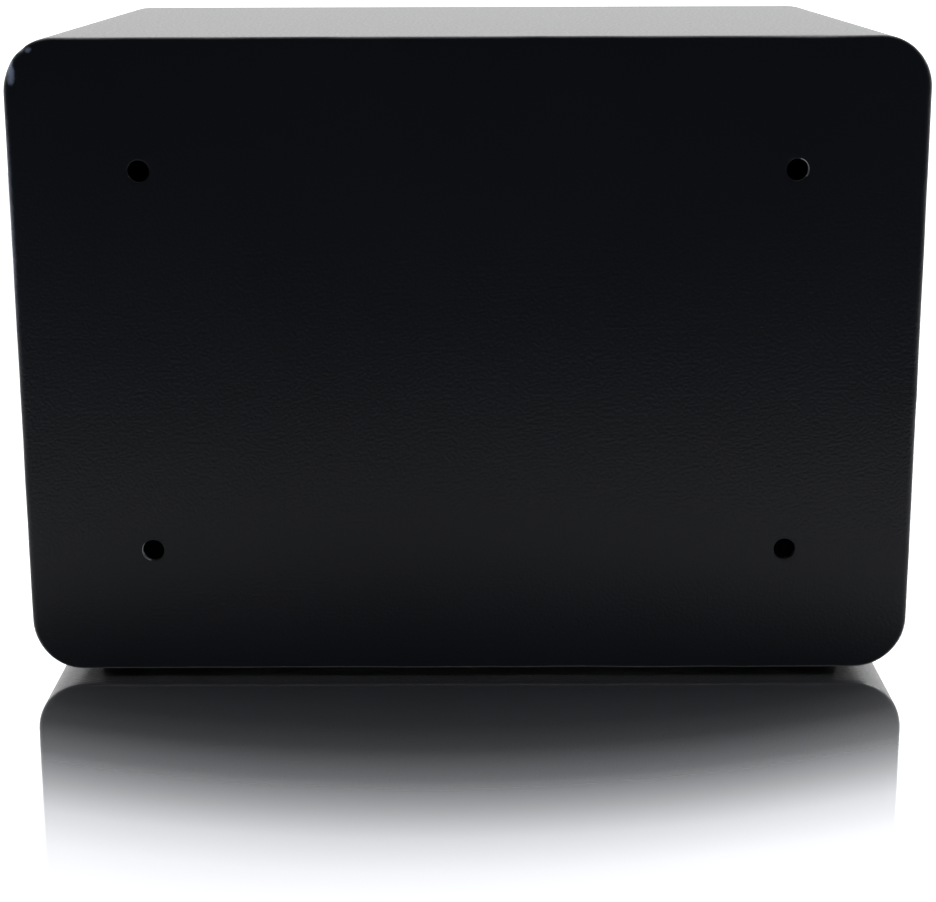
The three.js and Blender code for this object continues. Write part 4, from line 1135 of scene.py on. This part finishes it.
# Carpet mat laid on the floor: top = z - pile * (0.5 + 0.5 ripple(x, y)), edges cut slightly wavy.
def makeMat(look):
    low, high, middle = span("floor_mat")
    half = (high - low)[:2] / 2 - 3.0
    top, bottom = high[2], low[2]
    profile = [(0, top)] + bendPoints(3 - 0.9, top - 0.9, 0.9, 90, 0, 3).tolist() + [(3, bottom), (0, bottom)]
    xs, zs = gridLines(half[0], [], look["step"]), gridLines(half[1], [], look["step"])
    patches = []
    for points, faces in plate(half[0], half[1], profile, xs, zs, 4):
        x, y, z = points[:, 0], points[:, 2], points[:, 1]
        ripple = np.sin(x * 0.9 + 2 * np.sin(y * 0.31)) * np.sin(y * 1.1 + 1.7 * np.sin(x * 0.23))
        ripple = ripple * 0.6 + 0.4 * np.sin(x * 2.3 + y * 1.9) * np.sin(y * 2.1 - x * 1.3)
        z = np.where(z > bottom + 0.5, z - look["pile"] * (0.5 + 0.5 * ripple), z)
        edge = np.clip((abs(x) - half[0]) / 3, 0, 1) + np.clip((abs(y) - half[1]) / 3, 0, 1)
        pull = 1 - look["edge"] * edge * (0.5 + 0.5 * ripple) / 150
        patches.append((np.stack([x * pull + middle[0], y * pull + middle[1], z], axis=1), faces))
    piece = solid("carpetMat", patches, carpet, "cabinet", ["floor_mat"], "carpet", sharp=80)


makeRearPanel(boxLook)
wrap = makeBodyWrap(boxLook)
makeDoorFrame(doorFrameLook, boxLook)
for k in range(1, 5):
    makeFoot(f"foot_{k}", footLook)
    makeScrew(f"cover_screw_{k}", screwLook)
print("box, frame, feet and screws")
makeMat(matLook)
for side in ("upper", "lower"):
    makeBolt("locking_bolt_" + side, boltLook)
makeKnob(knobLook)
makeCollar(collarLook)
makeRivet(rivetLook)
makeKeypad(keypadLook)
for label in "1234567890AB":
    makeKey(label, keyLook)
for colour in ("red", "yellow", "green"):
    makeLamp("lamp_" + colour, colour + "_lens")
makeBatteryLid(lidLook)
makeResetButton(resetLook)
print("door furniture")

# Folded and pressed steel whose CAD shape is right, with its edges rounded: node, finish, body,
# slot and edge radius.
softenedPieces = [
    ("door_plate", coat, "door", "powder_coat", 0.7), ("door_cover", coat, "door", "powder_coat", 0.35),
    ("door_stop_upper", coat, "cabinet", "powder_coat", 0.5),
    ("door_stop_lower", coat, "cabinet", "powder_coat", 0.5),
    ("shelf_rail_right", coat, "cabinet", "powder_coat", 0.45),
    ("shelf_rail_left", coat, "cabinet", "powder_coat", 0.45),
    ("shelf", coat, "shelf", "powder_coat", 0.4), ("hinge_upper", zinc, "door", "zinc_steel", 0.5),
    ("hinge_lower", zinc, "door", "zinc_steel", 0.5), ("bolt_guide", zinc, "door", "zinc_steel", 0.4),
    ("bolt_bar", zinc, "bolt_bar", "zinc_steel", 0.4), ("lock_cylinder", chrome, "door", "chrome", 0.5),
    ("lock_plug", brass, "lock_plug", "brass", 0.25), ("key_cover", chrome, "key_cover", "chrome", 0.5),
    ("battery_box", blackPlastic, "door", "black_plastic", 0.4),
]
for node, material, body, slotName, width in softenedPieces:
    softCopy(node, node + "_soft", material, body, slotName, width)
print("steelwork")


finish = {
    "powder_coat": coat, "rubber": rubber, "nylon": nylon, "carpet": carpet, "zinc_steel": zinc,
    "chrome": chrome,
    "black_plastic": blackPlastic, "brass": brass, "bare_steel": bareSteel, "key_plastic": keyPlastic,
    "red_lens": lenses["lamp_red"], "yellow_lens": lenses["lamp_yellow"], "green_lens": lenses["lamp_green"],
    "circuit_board": boardGreen, "red_plastic": redPlastic,
}
for entry in frame["record"]["subparts"]:
    node = frame["nodes"][entry["node"]]
    node.data.materials.clear()
    node.data.materials.append(finish[entry["material_slot"]])
